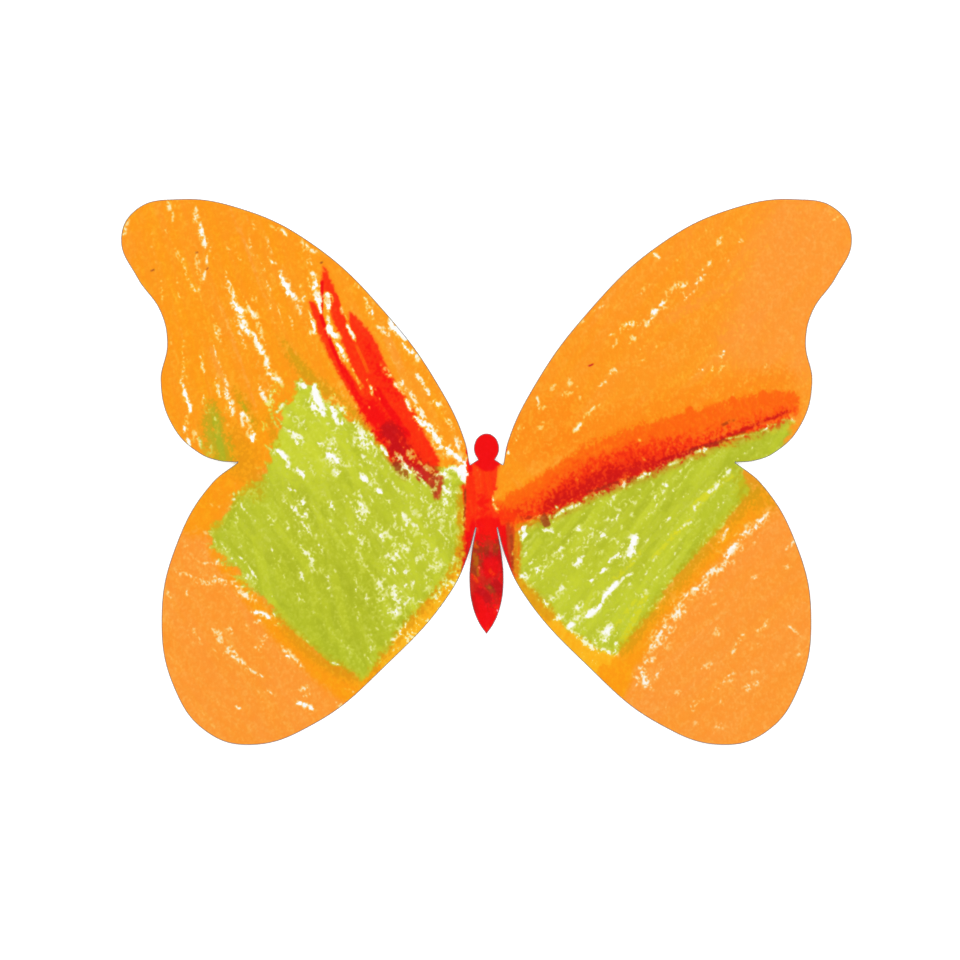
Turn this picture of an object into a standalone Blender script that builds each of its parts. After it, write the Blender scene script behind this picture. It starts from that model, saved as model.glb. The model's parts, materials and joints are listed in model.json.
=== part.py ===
"""A butterfly cut out of card and coloured on its front with wax crayon.

The card is one flat cut-out. A straight crease on each side of the narrow body lets the wing
beside it fold up, so the model holds three stiff card panels. On their front lie the fields of
crayon wax, each a thin layer of one colour. The butterfly lies flat on its back with its front up:
+X is its right wing in the picture, +Y runs from tail to head and +Z comes out of the front.

Outlines are drawn in units of a millimetre at the full span, with the origin midway between the
wings and midway between the top and the bottom of the card.
"""

import math

import bmesh
import bpy

# Driving dimensions, in metres.
SPAN = 0.1462  # wing tip to wing tip
CARD = 0.0004  # thickness of the card
WAX = 0.0001  # thickness of the crayon layer
WAX_LIFT = 0.00002  # air between the card and the wax that lies on it
CREASE_GAP = 0.0001  # between two card panels at a crease
WAX_TO_CREASE = 0.0003  # bare card beside a crease, so that the wax doesn't pinch
FIELD_GAP = 0.0003  # between two neighbouring fields of wax

DRAWN_SPAN = 146.2  # the span of the outlines below, in their own units
UNIT = SPAN / DRAWN_SPAN
CURVE_STEPS = 7  # straight pieces in each stretch of an outline
CUTTER_REACH = 0.001  # how far a cutter stands above and below what it cuts
WELD = 1e-7
SMOOTH_BELOW = math.radians(40.0)

CORNER = True  # marks a point where an outline turns sharply

# The crease runs straight from the notch beside the shoulder to the end of the tail slot.
NOTCH = (3.3, 1.4)
SLOT_END = (2.1, -11.0)

# The right wing's edge, from the notch round the forewing and the hindwing to the slot.
WING_EDGE = [
    (4.35, 6.3),
    (9.3, 16.8),
    (19.6, 31.2),
    (34.9, 45.7),
    (49.4, 52.8),
    (61.8, 54.6),
    (70.0, 52.6),
    (73.1, 46.8),
    (69.9, 38.9),
    (65.2, 32.0),
    (63.9, 25.8),
    (65.2, 18.0),
    (62.8, 9.2),
    (57.7, 3.9),
    (53.8, 2.3),
    (49.8, 1.9, CORNER),
    (55.0, -2.3),
    (62.0, -14.4),
    (65.0, -28.8),
    (62.4, -43.4),
    (56.0, -52.0),
    (47.5, -54.6),
    (34.5, -50.4),
    (19.8, -38.4),
    (7.2, -24.1),
    (3.8, -17.0),
]

# The body: an egg-shaped head on a neck, square shoulders, and a leaf-shaped tail.
HEAD_CENTRE_Y = 4.7
HEAD_HALF_WIDTH = 2.5
HEAD_HALF_HEIGHT = 3.0
NECK_ANGLE = -48.0  # where the head's outline meets the neck, in degrees from +X
HEAD_POINTS = 9
SHOULDER = (2.4, 2.0)
TAIL_EDGE = [(3.1, -17.0), (3.4, -22.3), (2.85, -26.6), (1.5, -30.2)]
TAIL_TIP = (0.0, -32.4)

# Each field of wax: its colour, the panel it lies on, and an outline that may run past the card.
# A field is cut back round every field of the same panel that comes before it.
FIELDS = {
    "left_red_wax": (
        "red",
        "left_wing",
        [
            (-32.9, 40.8, CORNER),
            (-29.6, 33.4),
            (-22.3, 24.0),
            (-14.6, 9.2),
            (-9.4, 0.6),
            (-9.8, -4.2, CORNER),
            (-13.0, 1.2),
            (-16.3, -0.9, CORNER),
            (-20.4, 4.6),
            (-28.2, 16.6),
            (-34.8, 31.4),
        ],
    ),
    "left_root_red_wax": (
        "red",
        "left_wing",
        [
            (-4.6, 2.0, CORNER),
            (-4.7, -7.0),
            (-4.9, -15.6, CORNER),
            (-3.0, -17.0, CORNER),
            (0.0, -12.0, CORNER),
            (0.0, 2.0, CORNER),
        ],
    ),
    "left_lobe_green_wax": (
        "green",
        "left_wing",
        [
            (-56.6, 14.0),
            (-54.0, 12.6),
            (-52.0, 5.6),
            (-51.8, 1.0, CORNER),
            (-57.4, 1.0, CORNER),
            (-58.0, 7.5),
        ],
    ),
    "left_green_wax": (
        "green",
        "left_wing",
        [
            (-37.4, 19.6),
            (-28.2, 15.2),
            (-18.0, 7.4),
            (-8.6, -0.2),
            (-4.6, -2.6),
            (-4.6, -14.4),
            (-9.9, -24.0),
            (-17.0, -32.4),
            (-24.6, -40.8, CORNER),
            (-35.2, -31.8),
            (-45.6, -23.0),
            (-55.2, -13.2),
            (-54.2, -8.0),
            (-47.4, -1.4),
            (-42.4, 6.0),
        ],
    ),
    "left_forewing_orange_wax": (
        "orange",
        "left_wing",
        [
            (-78.0, 60.0, CORNER),
            (-2.0, 60.0, CORNER),
            (-3.4, 3.2, CORNER),
            (-6.9, 2.3),
            (-7.8, -0.4),
            (-12.0, 1.6, CORNER),
            (-30.0, 6.0),
            (-44.0, 1.7, CORNER),
            (-50.2, 2.0, CORNER),
            (-58.0, 0.8, CORNER),
            (-78.0, 0.8, CORNER),
        ],
    ),
    "left_hindwing_orange_wax": (
        "orange",
        "left_wing",
        [
            (-40.0, 3.0, CORNER),
            (-50.2, 2.0, CORNER),
            (-58.0, 0.8, CORNER),
            (-70.0, -2.0, CORNER),
            (-70.0, -58.0, CORNER),
            (-30.0, -58.0, CORNER),
            (-1.0, -30.0, CORNER),
            (-1.0, -16.2, CORNER),
            (-7.0, -16.8, CORNER),
            (-24.6, -37.2),
            (-37.0, -27.0),
            (-50.0, -12.0),
            (-46.0, -4.0),
        ],
    ),
    "right_red_wax": (
        "red",
        "right_wing",
        [
            (1.0, -3.4, CORNER),
            (8.7, -1.4),
            (24.6, 7.8),
            (42.6, 13.8),
            (62.2, 16.4),
            (62.4, 13.6),
            (50.6, 7.4),
            (30.6, -0.4),
            (15.6, -6.8),
            (12.6, -10.4, CORNER),
            (9.6, -9.4),
            (6.2, -13.0),
            (5.0, -20.4, CORNER),
            (0.0, -17.0, CORNER),
        ],
    ),
    "right_green_wax": (
        "green",
        "right_wing",
        [
            (5.8, -13.0),
            (11.0, -7.6),
            (30.6, 1.6),
            (50.6, 9.4),
            (59.8, 10.2),
            (60.0, 6.4),
            (58.0, 1.0, CORNER),
            (50.2, 0.6, CORNER),
            (52.4, -3.2),
            (45.0, -14.6),
            (34.0, -29.0),
            (26.6, -36.8, CORNER),
            (17.8, -32.8),
            (9.0, -23.4),
            (5.9, -18.4),
        ],
    ),
    "right_forewing_orange_wax": (
        "orange",
        "right_wing",
        [
            (1.0, 60.0, CORNER),
            (78.0, 60.0, CORNER),
            (78.0, 1.0, CORNER),
            (58.6, 1.0, CORNER),
            (56.0, 12.0, CORNER),
            (30.0, 5.0),
            (8.7, -4.0),
            (1.0, -6.0, CORNER),
        ],
    ),
    "right_hindwing_orange_wax": (
        "orange",
        "right_wing",
        [
            (3.0, -17.4, CORNER),
            (7.6, -19.0),
            (26.0, -33.0),
            (42.0, -12.0),
            (50.0, 1.6, CORNER),
            (70.0, -2.0, CORNER),
            (70.0, -58.0, CORNER),
            (30.0, -58.0, CORNER),
            (1.0, -30.0, CORNER),
        ],
    ),
    "body_orange_wax": (
        "orange",
        "body",
        [
            (1.9, 1.0),
            (1.4, -3.6),
            (1.1, -8.2),
            (2.0, -9.6),
            (5.0, -8.0, CORNER),
            (5.0, 1.0, CORNER),
        ],
    ),
    "body_red_wax": (
        "red",
        "body",
        [
            (-6.0, 10.0, CORNER),
            (6.0, 10.0, CORNER),
            (6.0, -36.0, CORNER),
            (-6.0, -36.0, CORNER),
        ],
    ),
}

COLOURS = {
    "card": ((0.94, 0.93, 0.90, 1.0), 0.85),
    "orange": ((1.0, 0.29, 0.01, 1.0), 0.45),
    "green": ((0.47, 0.60, 0.03, 1.0), 0.45),
    "red": ((0.90, 0.015, 0.005, 1.0), 0.42),
}


def clear_scene():
    for obj in list(bpy.data.objects):
        bpy.data.objects.remove(obj)


def new_collection(name):
    collection = bpy.data.collections.new(name)
    bpy.context.scene.collection.children.link(collection)
    return collection


def make_materials():
    """One plain material for the card and one for each colour of wax."""
    made = {}
    for name, (colour, roughness) in COLOURS.items():
        material = bpy.data.materials.new(name)
        material.use_nodes = True
        shader = material.node_tree.nodes["Principled BSDF"]
        shader.inputs["Base Color"].default_value = colour
        shader.inputs["Roughness"].default_value = roughness
        shader.inputs["Metallic"].default_value = 0.0
        material.diffuse_color = colour
        made[name] = material
    return made


def crease_lean():
    """The angle between the right crease and the Y axis: the creases spread towards the head."""
    return math.atan2(NOTCH[0] - SLOT_END[0], NOTCH[1] - SLOT_END[1])


def beside_crease(point, distance):
    """A point of the right crease moved out towards the wing by a distance in metres."""
    out = (math.cos(crease_lean()), -math.sin(crease_lean()))
    x, y = (point[i] + out[i] * distance / UNIT for i in (0, 1))
    return (x, y, CORNER)


def wing_outline(side, from_crease):
    """The closed outline of one wing panel. side is 1 for the right wing and -1 for the left."""
    start = beside_crease(NOTCH, from_crease)
    end = beside_crease(SLOT_END, from_crease)
    right = [start, *WING_EDGE, end]
    return [(side * p[0], *p[1:]) for p in right]


def body_outline(from_crease):
    """The closed outline of the body panel, from the tail up the right side and down the left."""
    right = [(TAIL_TIP[0], TAIL_TIP[1], CORNER)]
    right += reversed(TAIL_EDGE)
    right.append(beside_crease(SLOT_END, -from_crease))
    right.append(beside_crease(NOTCH, -from_crease))
    right.append(SHOULDER)
    head = []
    sweep = 180.0 - 2.0 * NECK_ANGLE
    for i in range(HEAD_POINTS):
        angle = math.radians(NECK_ANGLE + sweep * i / (HEAD_POINTS - 1))
        x = HEAD_HALF_WIDTH * math.cos(angle)
        y = HEAD_CENTRE_Y + HEAD_HALF_HEIGHT * math.sin(angle)
        at_neck = i in (0, HEAD_POINTS - 1)
        head.append((x, y, CORNER) if at_neck else (x, y))
    left = [(-p[0], *p[1:]) for p in reversed(right[1:])]
    return right + head + left


def flat_curve(name, outline, thickness, grow):
    """A filled 2D curve through the outline's points, widened by grow on every side."""
    data = bpy.data.curves.new(name, "CURVE")
    data.dimensions = "2D"
    data.fill_mode = "BOTH"
    data.extrude = thickness / 2
    data.offset = grow
    data.resolution_u = CURVE_STEPS
    spline = data.splines.new("BEZIER")
    spline.bezier_points.add(len(outline) - 1)
    spline.use_cyclic_u = True
    for knot, point in zip(spline.bezier_points, outline):
        knot.co = (point[0] * UNIT, point[1] * UNIT, 0.0)
        kind = "VECTOR" if len(point) > 2 else "AUTO"
        knot.handle_left_type = kind
        knot.handle_right_type = kind
    return data


def plate(name, outline, bottom, top, collection, grow=0.0):
    """A flat solid with that outline, standing from bottom to top, as a mesh object."""
    curve = flat_curve(name, outline, top - bottom, grow)
    drawn = bpy.data.objects.new(name, curve)
    collection.objects.link(drawn)
    bpy.context.view_layer.update()
    graph = bpy.context.evaluated_depsgraph_get()
    mesh = bpy.data.meshes.new_from_object(drawn.evaluated_get(graph))
    bpy.data.objects.remove(drawn)
    cleaned = bmesh.new()
    cleaned.from_mesh(mesh)
    bmesh.ops.remove_doubles(cleaned, verts=cleaned.verts, dist=WELD)
    bmesh.ops.translate(cleaned, verts=cleaned.verts, vec=(0, 0, (bottom + top) / 2))
    bmesh.ops.recalc_face_normals(cleaned, faces=cleaned.faces)
    cleaned.to_mesh(mesh)
    cleaned.free()
    mesh.shade_smooth()
    mesh.set_sharp_from_angle(angle=SMOOTH_BELOW)
    mesh.name = name
    solid = bpy.data.objects.new(name, mesh)
    collection.objects.link(solid)
    return solid


def as_cutter(obj):
    obj.hide_render = True
    obj.display_type = "WIRE"
    return obj


def cut(obj, cutter, operation):
    modifier = obj.modifiers.new(cutter.name, "BOOLEAN")
    modifier.operation = operation
    modifier.solver = "EXACT"
    modifier.use_self = True  # a widened outline can cross itself in a tight inner corner
    modifier.object = cutter


def make_creases(parts):
    """An empty on each crease's axis, at its notch end and level with the front of the card.

    Its Y axis points along the crease, the way that makes a positive turn lift the wing.
    """
    turns = {"right_wing": math.pi - crease_lean(), "left_wing": crease_lean()}
    creases = {}
    for panel, turn in turns.items():
        side = 1 if panel == "right_wing" else -1
        crease = bpy.data.objects.new(panel + "_crease", None)
        crease.location = (side * NOTCH[0] * UNIT, NOTCH[1] * UNIT, CARD)
        crease.rotation_euler = (0.0, 0.0, turn)
        crease.empty_display_size = 0.01
        parts.objects.link(crease)
        creases[panel] = crease
    bpy.context.view_layer.update()
    return creases


def hang_on(obj, crease):
    """Make a piece turn with its crease and leave it where it is."""
    if crease is not None:
        obj.parent = crease
        obj.matrix_parent_inverse = crease.matrix_world.inverted()


def make_panels(parts, materials, creases):
    """The three panels of card between the creases."""
    half_gap = CREASE_GAP / 2
    outlines = {
        "body": body_outline(half_gap),
        "left_wing": wing_outline(-1, half_gap),
        "right_wing": wing_outline(1, half_gap),
    }
    for panel, outline in outlines.items():
        card = plate(panel + "_card", outline, 0.0, CARD, parts)
        card.data.materials.clear()
        card.data.materials.append(materials["card"])
        hang_on(card, creases.get(panel))


def make_wax(parts, cutters, materials, creases):
    """The fields of crayon wax on the front of the panels."""
    bottom = CARD + WAX_LIFT
    top = bottom + WAX
    outlines = {
        "body": body_outline(WAX_TO_CREASE),
        "left_wing": wing_outline(-1, WAX_TO_CREASE),
        "right_wing": wing_outline(1, WAX_TO_CREASE),
    }
    over = {panel: [] for panel in outlines}
    for name, (colour, panel, outline) in FIELDS.items():
        field = plate(name, outlines[panel], bottom, top, parts)
        reach = (bottom - CUTTER_REACH, top + CUTTER_REACH)
        shape = as_cutter(plate(name + "_shape", outline, *reach, cutters))
        cut(field, shape, "INTERSECT")
        for earlier in over[panel]:
            cut(field, earlier, "DIFFERENCE")
        wide = plate(name + "_room", outline, *reach, cutters, grow=FIELD_GAP)
        over[panel].append(as_cutter(wide))
        field.data.materials.clear()
        field.data.materials.append(materials[colour])
        hang_on(field, creases.get(panel))


def main():
    clear_scene()
    parts = new_collection("crayon_butterfly")
    cutters = new_collection("cutters")
    materials = make_materials()
    creases = make_creases(parts)
    make_panels(parts, materials, creases)
    make_wax(parts, cutters, materials, creases)


main()
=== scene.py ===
"""The looks of the crayon butterfly.

The drawing is made first, as a child makes it: crayon strokes laid over the tooth of the
card, field by field, on a canvas of small cells. Then each panel of the card and each field
of wax is built as a fine relief from the frame's outline, and takes its colours from the
canvas. Places in the drawing are in millimetres on the card's face, with X to the right and
Y up; everything that is built from them is in metres.
"""

import json
import math

import bmesh
import bpy
import numpy as np
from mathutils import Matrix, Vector
from mathutils.bvhtree import BVHTree
from mathutils.geometry import delaunay_2d_cdt
from mathutils.kdtree import KDTree


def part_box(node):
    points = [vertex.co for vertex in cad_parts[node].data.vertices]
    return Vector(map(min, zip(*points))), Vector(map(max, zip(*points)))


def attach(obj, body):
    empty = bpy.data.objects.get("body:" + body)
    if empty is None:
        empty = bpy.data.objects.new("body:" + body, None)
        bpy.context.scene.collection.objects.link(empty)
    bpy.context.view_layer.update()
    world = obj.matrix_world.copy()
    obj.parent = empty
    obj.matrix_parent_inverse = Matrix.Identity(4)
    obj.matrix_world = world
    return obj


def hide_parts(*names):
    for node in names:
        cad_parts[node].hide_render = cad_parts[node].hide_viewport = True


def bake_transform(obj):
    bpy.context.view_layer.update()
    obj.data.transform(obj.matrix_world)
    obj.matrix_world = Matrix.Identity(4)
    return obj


MM = 0.001
SEED = 11

# ---------------------------------------------------------------------------------------
# The drawing. A tint is the colour of a full coat of wax over the colour of the card.

PITCH = 0.125
HALF_WIDTH = 75.0
HALF_HEIGHT = 56.5
# The tooth of the card is a sum of lumps: each kind's height, width and share.
TOOTH = ((0.38, 0.32, 0.45), (0.18, 0.15, 1.0), (0.10, 0.10, 0.7))

ORANGE = (1.00, 0.352, 0.010)
PEACH = (1.00, 0.355, 0.034)
SALMON = (1.00, 0.362, 0.052)
AMBER = (1.00, 0.375, 0.002)
TANGERINE = (1.00, 0.270, 0.004)
GREEN = (0.53, 0.600, 0.034)
LEAF = (0.45, 0.505, 0.022)
LIME = (0.68, 0.740, 0.050)
OLIVE = (0.62, 0.385, 0.002)
LEMON = (0.90, 0.800, 0.020)
OCHRE = (0.74, 0.340, 0.003)
RED = (0.92, 0.001, 0.003)
FLAME = (1.00, 0.036, 0.001)
SCARLET = (1.00, 0.160, 0.001)
CRIMSON = (0.58, 0.005, 0.010)
RUST = (0.60, 0.050, 0.014)
BROWN = (0.36, 0.065, 0.010)

# How deep the tooth is, how thick the wax gets on it, and how the crayon meets it.
FULL = 0.91
COAT_UNIT = 0.42
FIRM_COAT = 1.14
STROKE_COAT = 0.55
COVERS = 0.97
MISSED = 0.97
TAPER = 0.9
DIP = 0.15
CATCH = (-0.06, 0.14)
CATCH_DEPTH = 0.7
EASE_SOFT = 1.0
CRUMB_WIDTH = 0.45


def smoothstep(low, high, value):
    t = np.clip((value - low) / (high - low), 0.0, 1.0)
    return t * t * (3.0 - 2.0 * t)


def gaussian(table, sigma):
    """A table blurred by sigma, (rows, columns) in cells, with its edges joined up."""
    rows = np.fft.fftfreq(table.shape[0])[:, None] * sigma[0]
    columns = np.fft.rfftfreq(table.shape[1])[None, :] * sigma[1]
    keep = np.exp(-2.0 * math.pi**2 * (rows**2 + columns**2))
    return np.fft.irfft2(np.fft.rfft2(table) * keep, s=table.shape)


def blurred(rng, shape, sigma):
    """Smooth noise that repeats, with mean 0 and deviation 1. Sigma is (rows, columns) in cells."""
    smooth = gaussian(rng.standard_normal(shape), sigma)
    return smooth / smooth.std()


def evened(noise):
    """The same noise with its values spread evenly from 0 to 1."""
    ranks = np.empty(noise.size)
    ranks[np.argsort(noise, axis=None)] = np.linspace(0.0, 1.0, noise.size)
    return ranks.reshape(noise.shape)


def looked_up(table, rows, columns):
    """Bilinear reading of a table that repeats."""
    row = np.floor(rows).astype(int)
    column = np.floor(columns).astype(int)
    up = rows - row
    over = columns - column
    high, wide = table.shape
    near = table[row % high, column % wide] * (1 - over) + table[row % high, (column + 1) % wide] * over
    row = row + 1
    far = table[row % high, column % wide] * (1 - over) + table[row % high, (column + 1) % wide] * over
    return near * (1 - up) + far * up


def mixed(rng, tints):
    """A tint somewhere between the two given."""
    low, high = np.log(np.array(tints))
    return np.exp(low + (high - low) * rng.uniform())


def rounded(points, steps=6):
    """A closed, smooth curve through the points."""
    p = np.array(points, float)
    before = np.roll(p, 1, axis=0)
    after = np.roll(p, -1, axis=0)
    later = np.roll(p, -2, axis=0)
    out = []
    for t in np.arange(steps) / steps:
        bend = 2 * before - 5 * p + 4 * after - later
        twist = 3 * p - before - 3 * after + later
        out.append(0.5 * (2 * p + (after - before) * t + bend * t**2 + twist * t**3))
    return np.stack(out, axis=1).reshape(-1, 2)


def crossings(outline, origin, along):
    """Where a line enters and leaves a closed outline, as distances from its origin."""
    side = np.array((-along[1], along[0]))
    v = (outline - origin) @ side
    u = (outline - origin) @ along
    v_next = np.roll(v, -1)
    u_next = np.roll(u, -1)
    hit = (v > 0) != (v_next > 0)
    share = v[hit] / (v - v_next)[hit]
    at = np.sort(u[hit] + (u_next - u)[hit] * share)
    return list(zip(at[0::2], at[1::2]))


class Canvas:
    """The front of the card in small cells, and the crayon on it."""

    def __init__(self):
        self.rng = np.random.default_rng(SEED)
        self.x = np.arange(-HALF_WIDTH, HALF_WIDTH, PITCH)
        self.y = np.arange(-HALF_HEIGHT, HALF_HEIGHT, PITCH)
        shape = (len(self.y), len(self.x))
        tooth = np.zeros(shape)
        for high, wide, share in TOOTH:
            tooth += share * blurred(self.rng, shape, (high / PITCH, wide / PITCH))
        self.tooth = evened(tooth)
        self.streaks = evened(blurred(self.rng, (64, 512), (1.0, 0.8)))
        self.fill = np.zeros(shape)
        self.coat = np.zeros(shape)
        self.tint = np.ones(shape + (3,))
        self.missed = np.zeros(shape)

    def round_line(self, start, end, width, bow=0.0):
        """The cells round a line, with their places along it and across it."""
        run = np.subtract(end, start)
        length = float(np.hypot(*run))
        along = run / length
        pad = width + abs(bow)
        low = np.minimum(start, end) - pad
        high = np.maximum(start, end) + pad
        left, right = np.searchsorted(self.x, (low[0], high[0]))
        bottom, top = np.searchsorted(self.y, (low[1], high[1]))
        dx = self.x[None, left:right] - start[0]
        dy = self.y[bottom:top, None] - start[1]
        u = dx * along[0] + dy * along[1]
        v = dy * along[0] - dx * along[1]
        t = np.clip(u / length, 0.0, 1.0)
        box = (slice(bottom, top), slice(left, right))
        return box, u, v - 4.0 * bow * t * (1.0 - t), length

    def miss(self, start, end, width, strength):
        """A streak that the crayon passed over, ragged, and broken by the tops of the tooth."""
        box, u, v, length = self.round_line(start, end, width)
        shift = self.rng.uniform(0, 500, 2)
        if u.size == 0:
            return
        t = np.clip(u / length, 0.0, 1.0)
        half = 0.5 * width * (0.35 + 0.65 * np.sqrt(np.sin(math.pi * t)))
        wobble = looked_up(self.streaks, u / 1.1 + shift[0], v * 0 + shift[1]) - 0.5
        body = smoothstep(1.9, 0.2, np.abs(v + wobble * width * 0.9) / half)
        ends = smoothstep(-0.6, 0.5, u) * smoothstep(-0.6, 0.5, length - u)
        patches = 0.55 + 0.75 * looked_up(self.streaks, u / 0.7 + shift[1], v / 0.4 + shift[0])
        streak = MISSED * strength * body * ends * np.minimum(patches, 1.0)
        self.missed[box] = np.maximum(self.missed[box], streak)

    def region(self, outline, soft):
        """The cells round a closed outline, with 1 inside it, 0 outside and a soft edge."""
        outline = rounded(outline)
        low = outline.min(axis=0) - 3 * soft
        high = outline.max(axis=0) + 3 * soft
        left, right = np.searchsorted(self.x, (low[0], high[0]))
        bottom, top = np.searchsorted(self.y, (low[1], high[1]))
        inside = np.zeros((top - bottom, right - left))
        for row, y in enumerate(self.y[bottom:top]):
            for enter, leave in crossings(outline, np.array((0.0, y)), np.array((1.0, 0.0))):
                first, last = np.searchsorted(self.x[left:right], (enter, leave))
                inside[row, first:last] = 1.0
        box = (slice(bottom, top), slice(left, right))
        return box, gaussian(inside, (soft / PITCH, soft / PITCH))

    def cloud(self, box, angle, long, wide):
        """Streaky noise from 0 to 1 over some cells, drawn out along an angle."""
        tilt = math.radians(angle)
        shift = self.rng.uniform(0, 500, 2)
        x = self.x[None, box[1]]
        y = self.y[box[0], None]
        u = x * math.cos(tilt) + y * math.sin(tilt)
        v = y * math.cos(tilt) - x * math.sin(tilt)
        return looked_up(self.streaks, u / long + shift[0], v / wide + shift[1])

    def ease(self, outline, strength, angle, share=0.35, long=1.4, wide=0.55):
        """A region where the crayon was pressed lightly, so that the tooth shows in clusters
        that lie along its strokes."""
        box, inside = self.region(outline, EASE_SOFT)
        clusters = smoothstep(1.0 - share, 1.0, self.cloud(box, angle, long, wide))
        self.missed[box] = np.maximum(self.missed[box], strength * inside * clusters)

    def shade(self, outline, tint, pressure, angle, soft=0.5, hold=0.8, grainy=0.6):
        """A region rubbed over evenly, without strokes that can be told apart."""
        box, inside = self.region(outline, soft)
        streaks = 0.5 * self.cloud(box, angle, 4.0, 0.5) + 0.5 * self.cloud(box, angle + 40, 1.2, 0.6)
        push = np.clip(pressure * inside * (0.7 + 0.6 * streaks) * (1.0 - self.missed[box]), 0.0, 1.0)
        self.lay(box, push, tint, hold, grainy)

    def stroke(self, start, end, width, pressure, tint, bow=0.0, hold=0.85, grainy=0.75):
        """One stroke. Hold is how well it hides what is under it, and grainy how much of
        it catches only on the tops of the tooth."""
        shift = self.rng.uniform(0, 500, 2)
        box, u, v, length = self.round_line(start, end, width, bow)
        if u.size == 0:
            return
        taper = min(TAPER, 0.25 * length)
        along = smoothstep(-0.4, taper, u) * smoothstep(-0.4, taper, length - u)
        across = smoothstep(1.0, 0.5, np.abs(v) * 2.0 / width)
        streaks = looked_up(self.streaks, u / 7.0 + shift[0], v / 0.3 + shift[1])
        push = pressure * across * along * (0.78 + 0.34 * streaks)
        push = np.clip(push * (1.0 - self.missed[box]), 0.0, 1.0)
        self.lay(box, push, tint, hold, grainy)

    def lay(self, box, push, tint, hold, grainy):
        """Wax pressed onto some cells. The tops of the tooth catch it first."""
        touch = smoothstep(*CATCH, push - (1.0 - self.tooth[box]) * CATCH_DEPTH)
        amount = (1.0 - grainy) * push + grainy * touch * (0.4 + 0.6 * push)
        amount *= smoothstep(0.0, 0.08, push)
        self.fill[box] = 1.0 - (1.0 - self.fill[box]) * (1.0 - COVERS * push)
        bare = self.coat[box] < 0.02
        self.coat[box] += STROKE_COAT * amount
        share = hold * np.clip(amount * 1.15, 0.0, 1.0)
        share = np.where(bare & (amount > 0.003), 1.0, share)[..., None]
        self.tint[box] = np.exp(np.log(self.tint[box]) * (1 - share) + np.log(tint) * share)

    def hatch(self, region, tints, angle, gap, width, pressure, fan=0.0, keep=1.0, spill=0.8,
              length=(14, 26), hold=0.85, grainy=0.75):
        """Strokes side by side across a region, each with a pressure of its own. Fan turns
        them from one side of the region to the other."""
        outline = rounded(region)
        centre = outline.mean(axis=0)
        reach = np.abs(outline - centre).max() * 1.5
        tilt = math.radians(angle)
        side = np.array((-math.sin(tilt), math.cos(tilt)))
        offset = -reach
        while offset < reach:
            turn = tilt + math.radians(fan) * offset / reach
            along = np.array((math.cos(turn), math.sin(turn)))
            origin = centre + side * offset
            for enter, leave in crossings(outline, origin, along):
                self.row(origin, along, enter, leave, tints, width, pressure, keep, spill,
                         length, hold, grainy)
            offset += gap * self.rng.uniform(0.7, 1.3)

    def row(self, origin, along, enter, leave, tints, width, pressure, keep, spill, length,
            hold, grainy):
        """The strokes that follow each other on one line of a hatch."""
        at = enter - self.rng.uniform(-spill, spill)
        leave += self.rng.uniform(-spill, spill)
        while at < leave - 1.0:
            end = min(leave, at + self.rng.uniform(*length))
            if leave - end < 4.0:
                end = leave
            sway = np.array((-along[1], along[0])) * self.rng.uniform(-0.3, 0.3)
            wide = width * self.rng.uniform(0.8, 1.25)
            firm = pressure * self.rng.uniform(0.86, 1.10)
            bow = self.rng.uniform(-0.4, 0.4)
            tint = mixed(self.rng, tints)
            if self.rng.uniform() < keep:
                self.stroke(origin + along * at + sway, origin + along * end - sway, wide, firm,
                            tint, bow, hold, grainy)
            at = end - self.rng.uniform(0.5, 2.5)

    def strokes(self, tint, rows, hold=0.9, grainy=0.75):
        """Strokes placed one by one: each row is x and y of both ends, width, pressure."""
        for x1, y1, x2, y2, width, pressure in rows:
            self.stroke((x1, y1), (x2, y2), width, pressure, tint, self.rng.uniform(-0.2, 0.2),
                        hold, grainy)

    def misses(self, rows):
        """Missed streaks placed one by one: x and y of both ends, width, strength."""
        for x1, y1, x2, y2, width, strength in rows:
            self.miss((x1, y1), (x2, y2), width, strength)

    def crumbs(self, places, tint):
        """Dark grains of wax that rolled up under the crayon."""
        for x, y, size in places:
            turn = self.rng.uniform(0.2, 1.4)
            reach = np.array((math.cos(turn), math.sin(turn))) * size / 2
            spot = np.array((x, y))
            self.stroke(spot - reach, spot + reach, CRUMB_WIDTH, 1.0, tint, hold=0.8, grainy=0.0)


# The fields that the strokes fill. A field that meets the card's edge runs on past it.
LEFT_FOREWING = [
    (-80, 60), (-30, 60), (-2, 14), (-3.2, 3.2), (-7.4, 1.4), (-10, -0.6), (-18, 4), (-27.6, 11.6),
    (-32, 15.4), (-37.4, 18.4), (-41, 12.6), (-42.6, 6), (-45, -1), (-49.4, -1), (-62, 0), (-80, 12),
]
LEFT_GREEN = [
    (-37.6, 18.2), (-34.5, 17.2), (-30.6, 13.4), (-26, 9.6), (-21, 5.2), (-16, -0.4), (-9.6, -0.8),
    (-5.6, -1.6), (-5.6, -17), (-10.4, -23.8), (-17.4, -31.6), (-22.4, -40), (-25, -42.2), (-33.2, -37),
    (-38.9, -31.6), (-45.6, -25), (-52, -17.7), (-55.7, -12.4), (-52.4, -8), (-49.2, -3), (-45.6, 0.6),
    (-42.4, 6.6), (-43, 11),
]
LEFT_LOBE = [(-57, 13), (-54.4, 14), (-52.6, 8), (-50.6, 0.6), (-55, 0.6), (-57.2, 7)]
LEFT_HINDWING = [
    (-47, 1.6), (-49.4, -3.4), (-52.8, -8), (-56.2, -12.6), (-52.4, -18), (-46, -25.4), (-39.2, -32),
    (-33.6, -37.6), (-25, -43), (-20, -60), (-70, -60), (-80, -4), (-52, 2),
]
RIGHT_FOREWING = [
    (1, -8), (1.6, 14), (30, 60), (80, 60), (78, 4), (60.6, 3), (60.6, 11), (42.6, 8), (24.6, 1),
    (8.7, -7.4),
]
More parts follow.
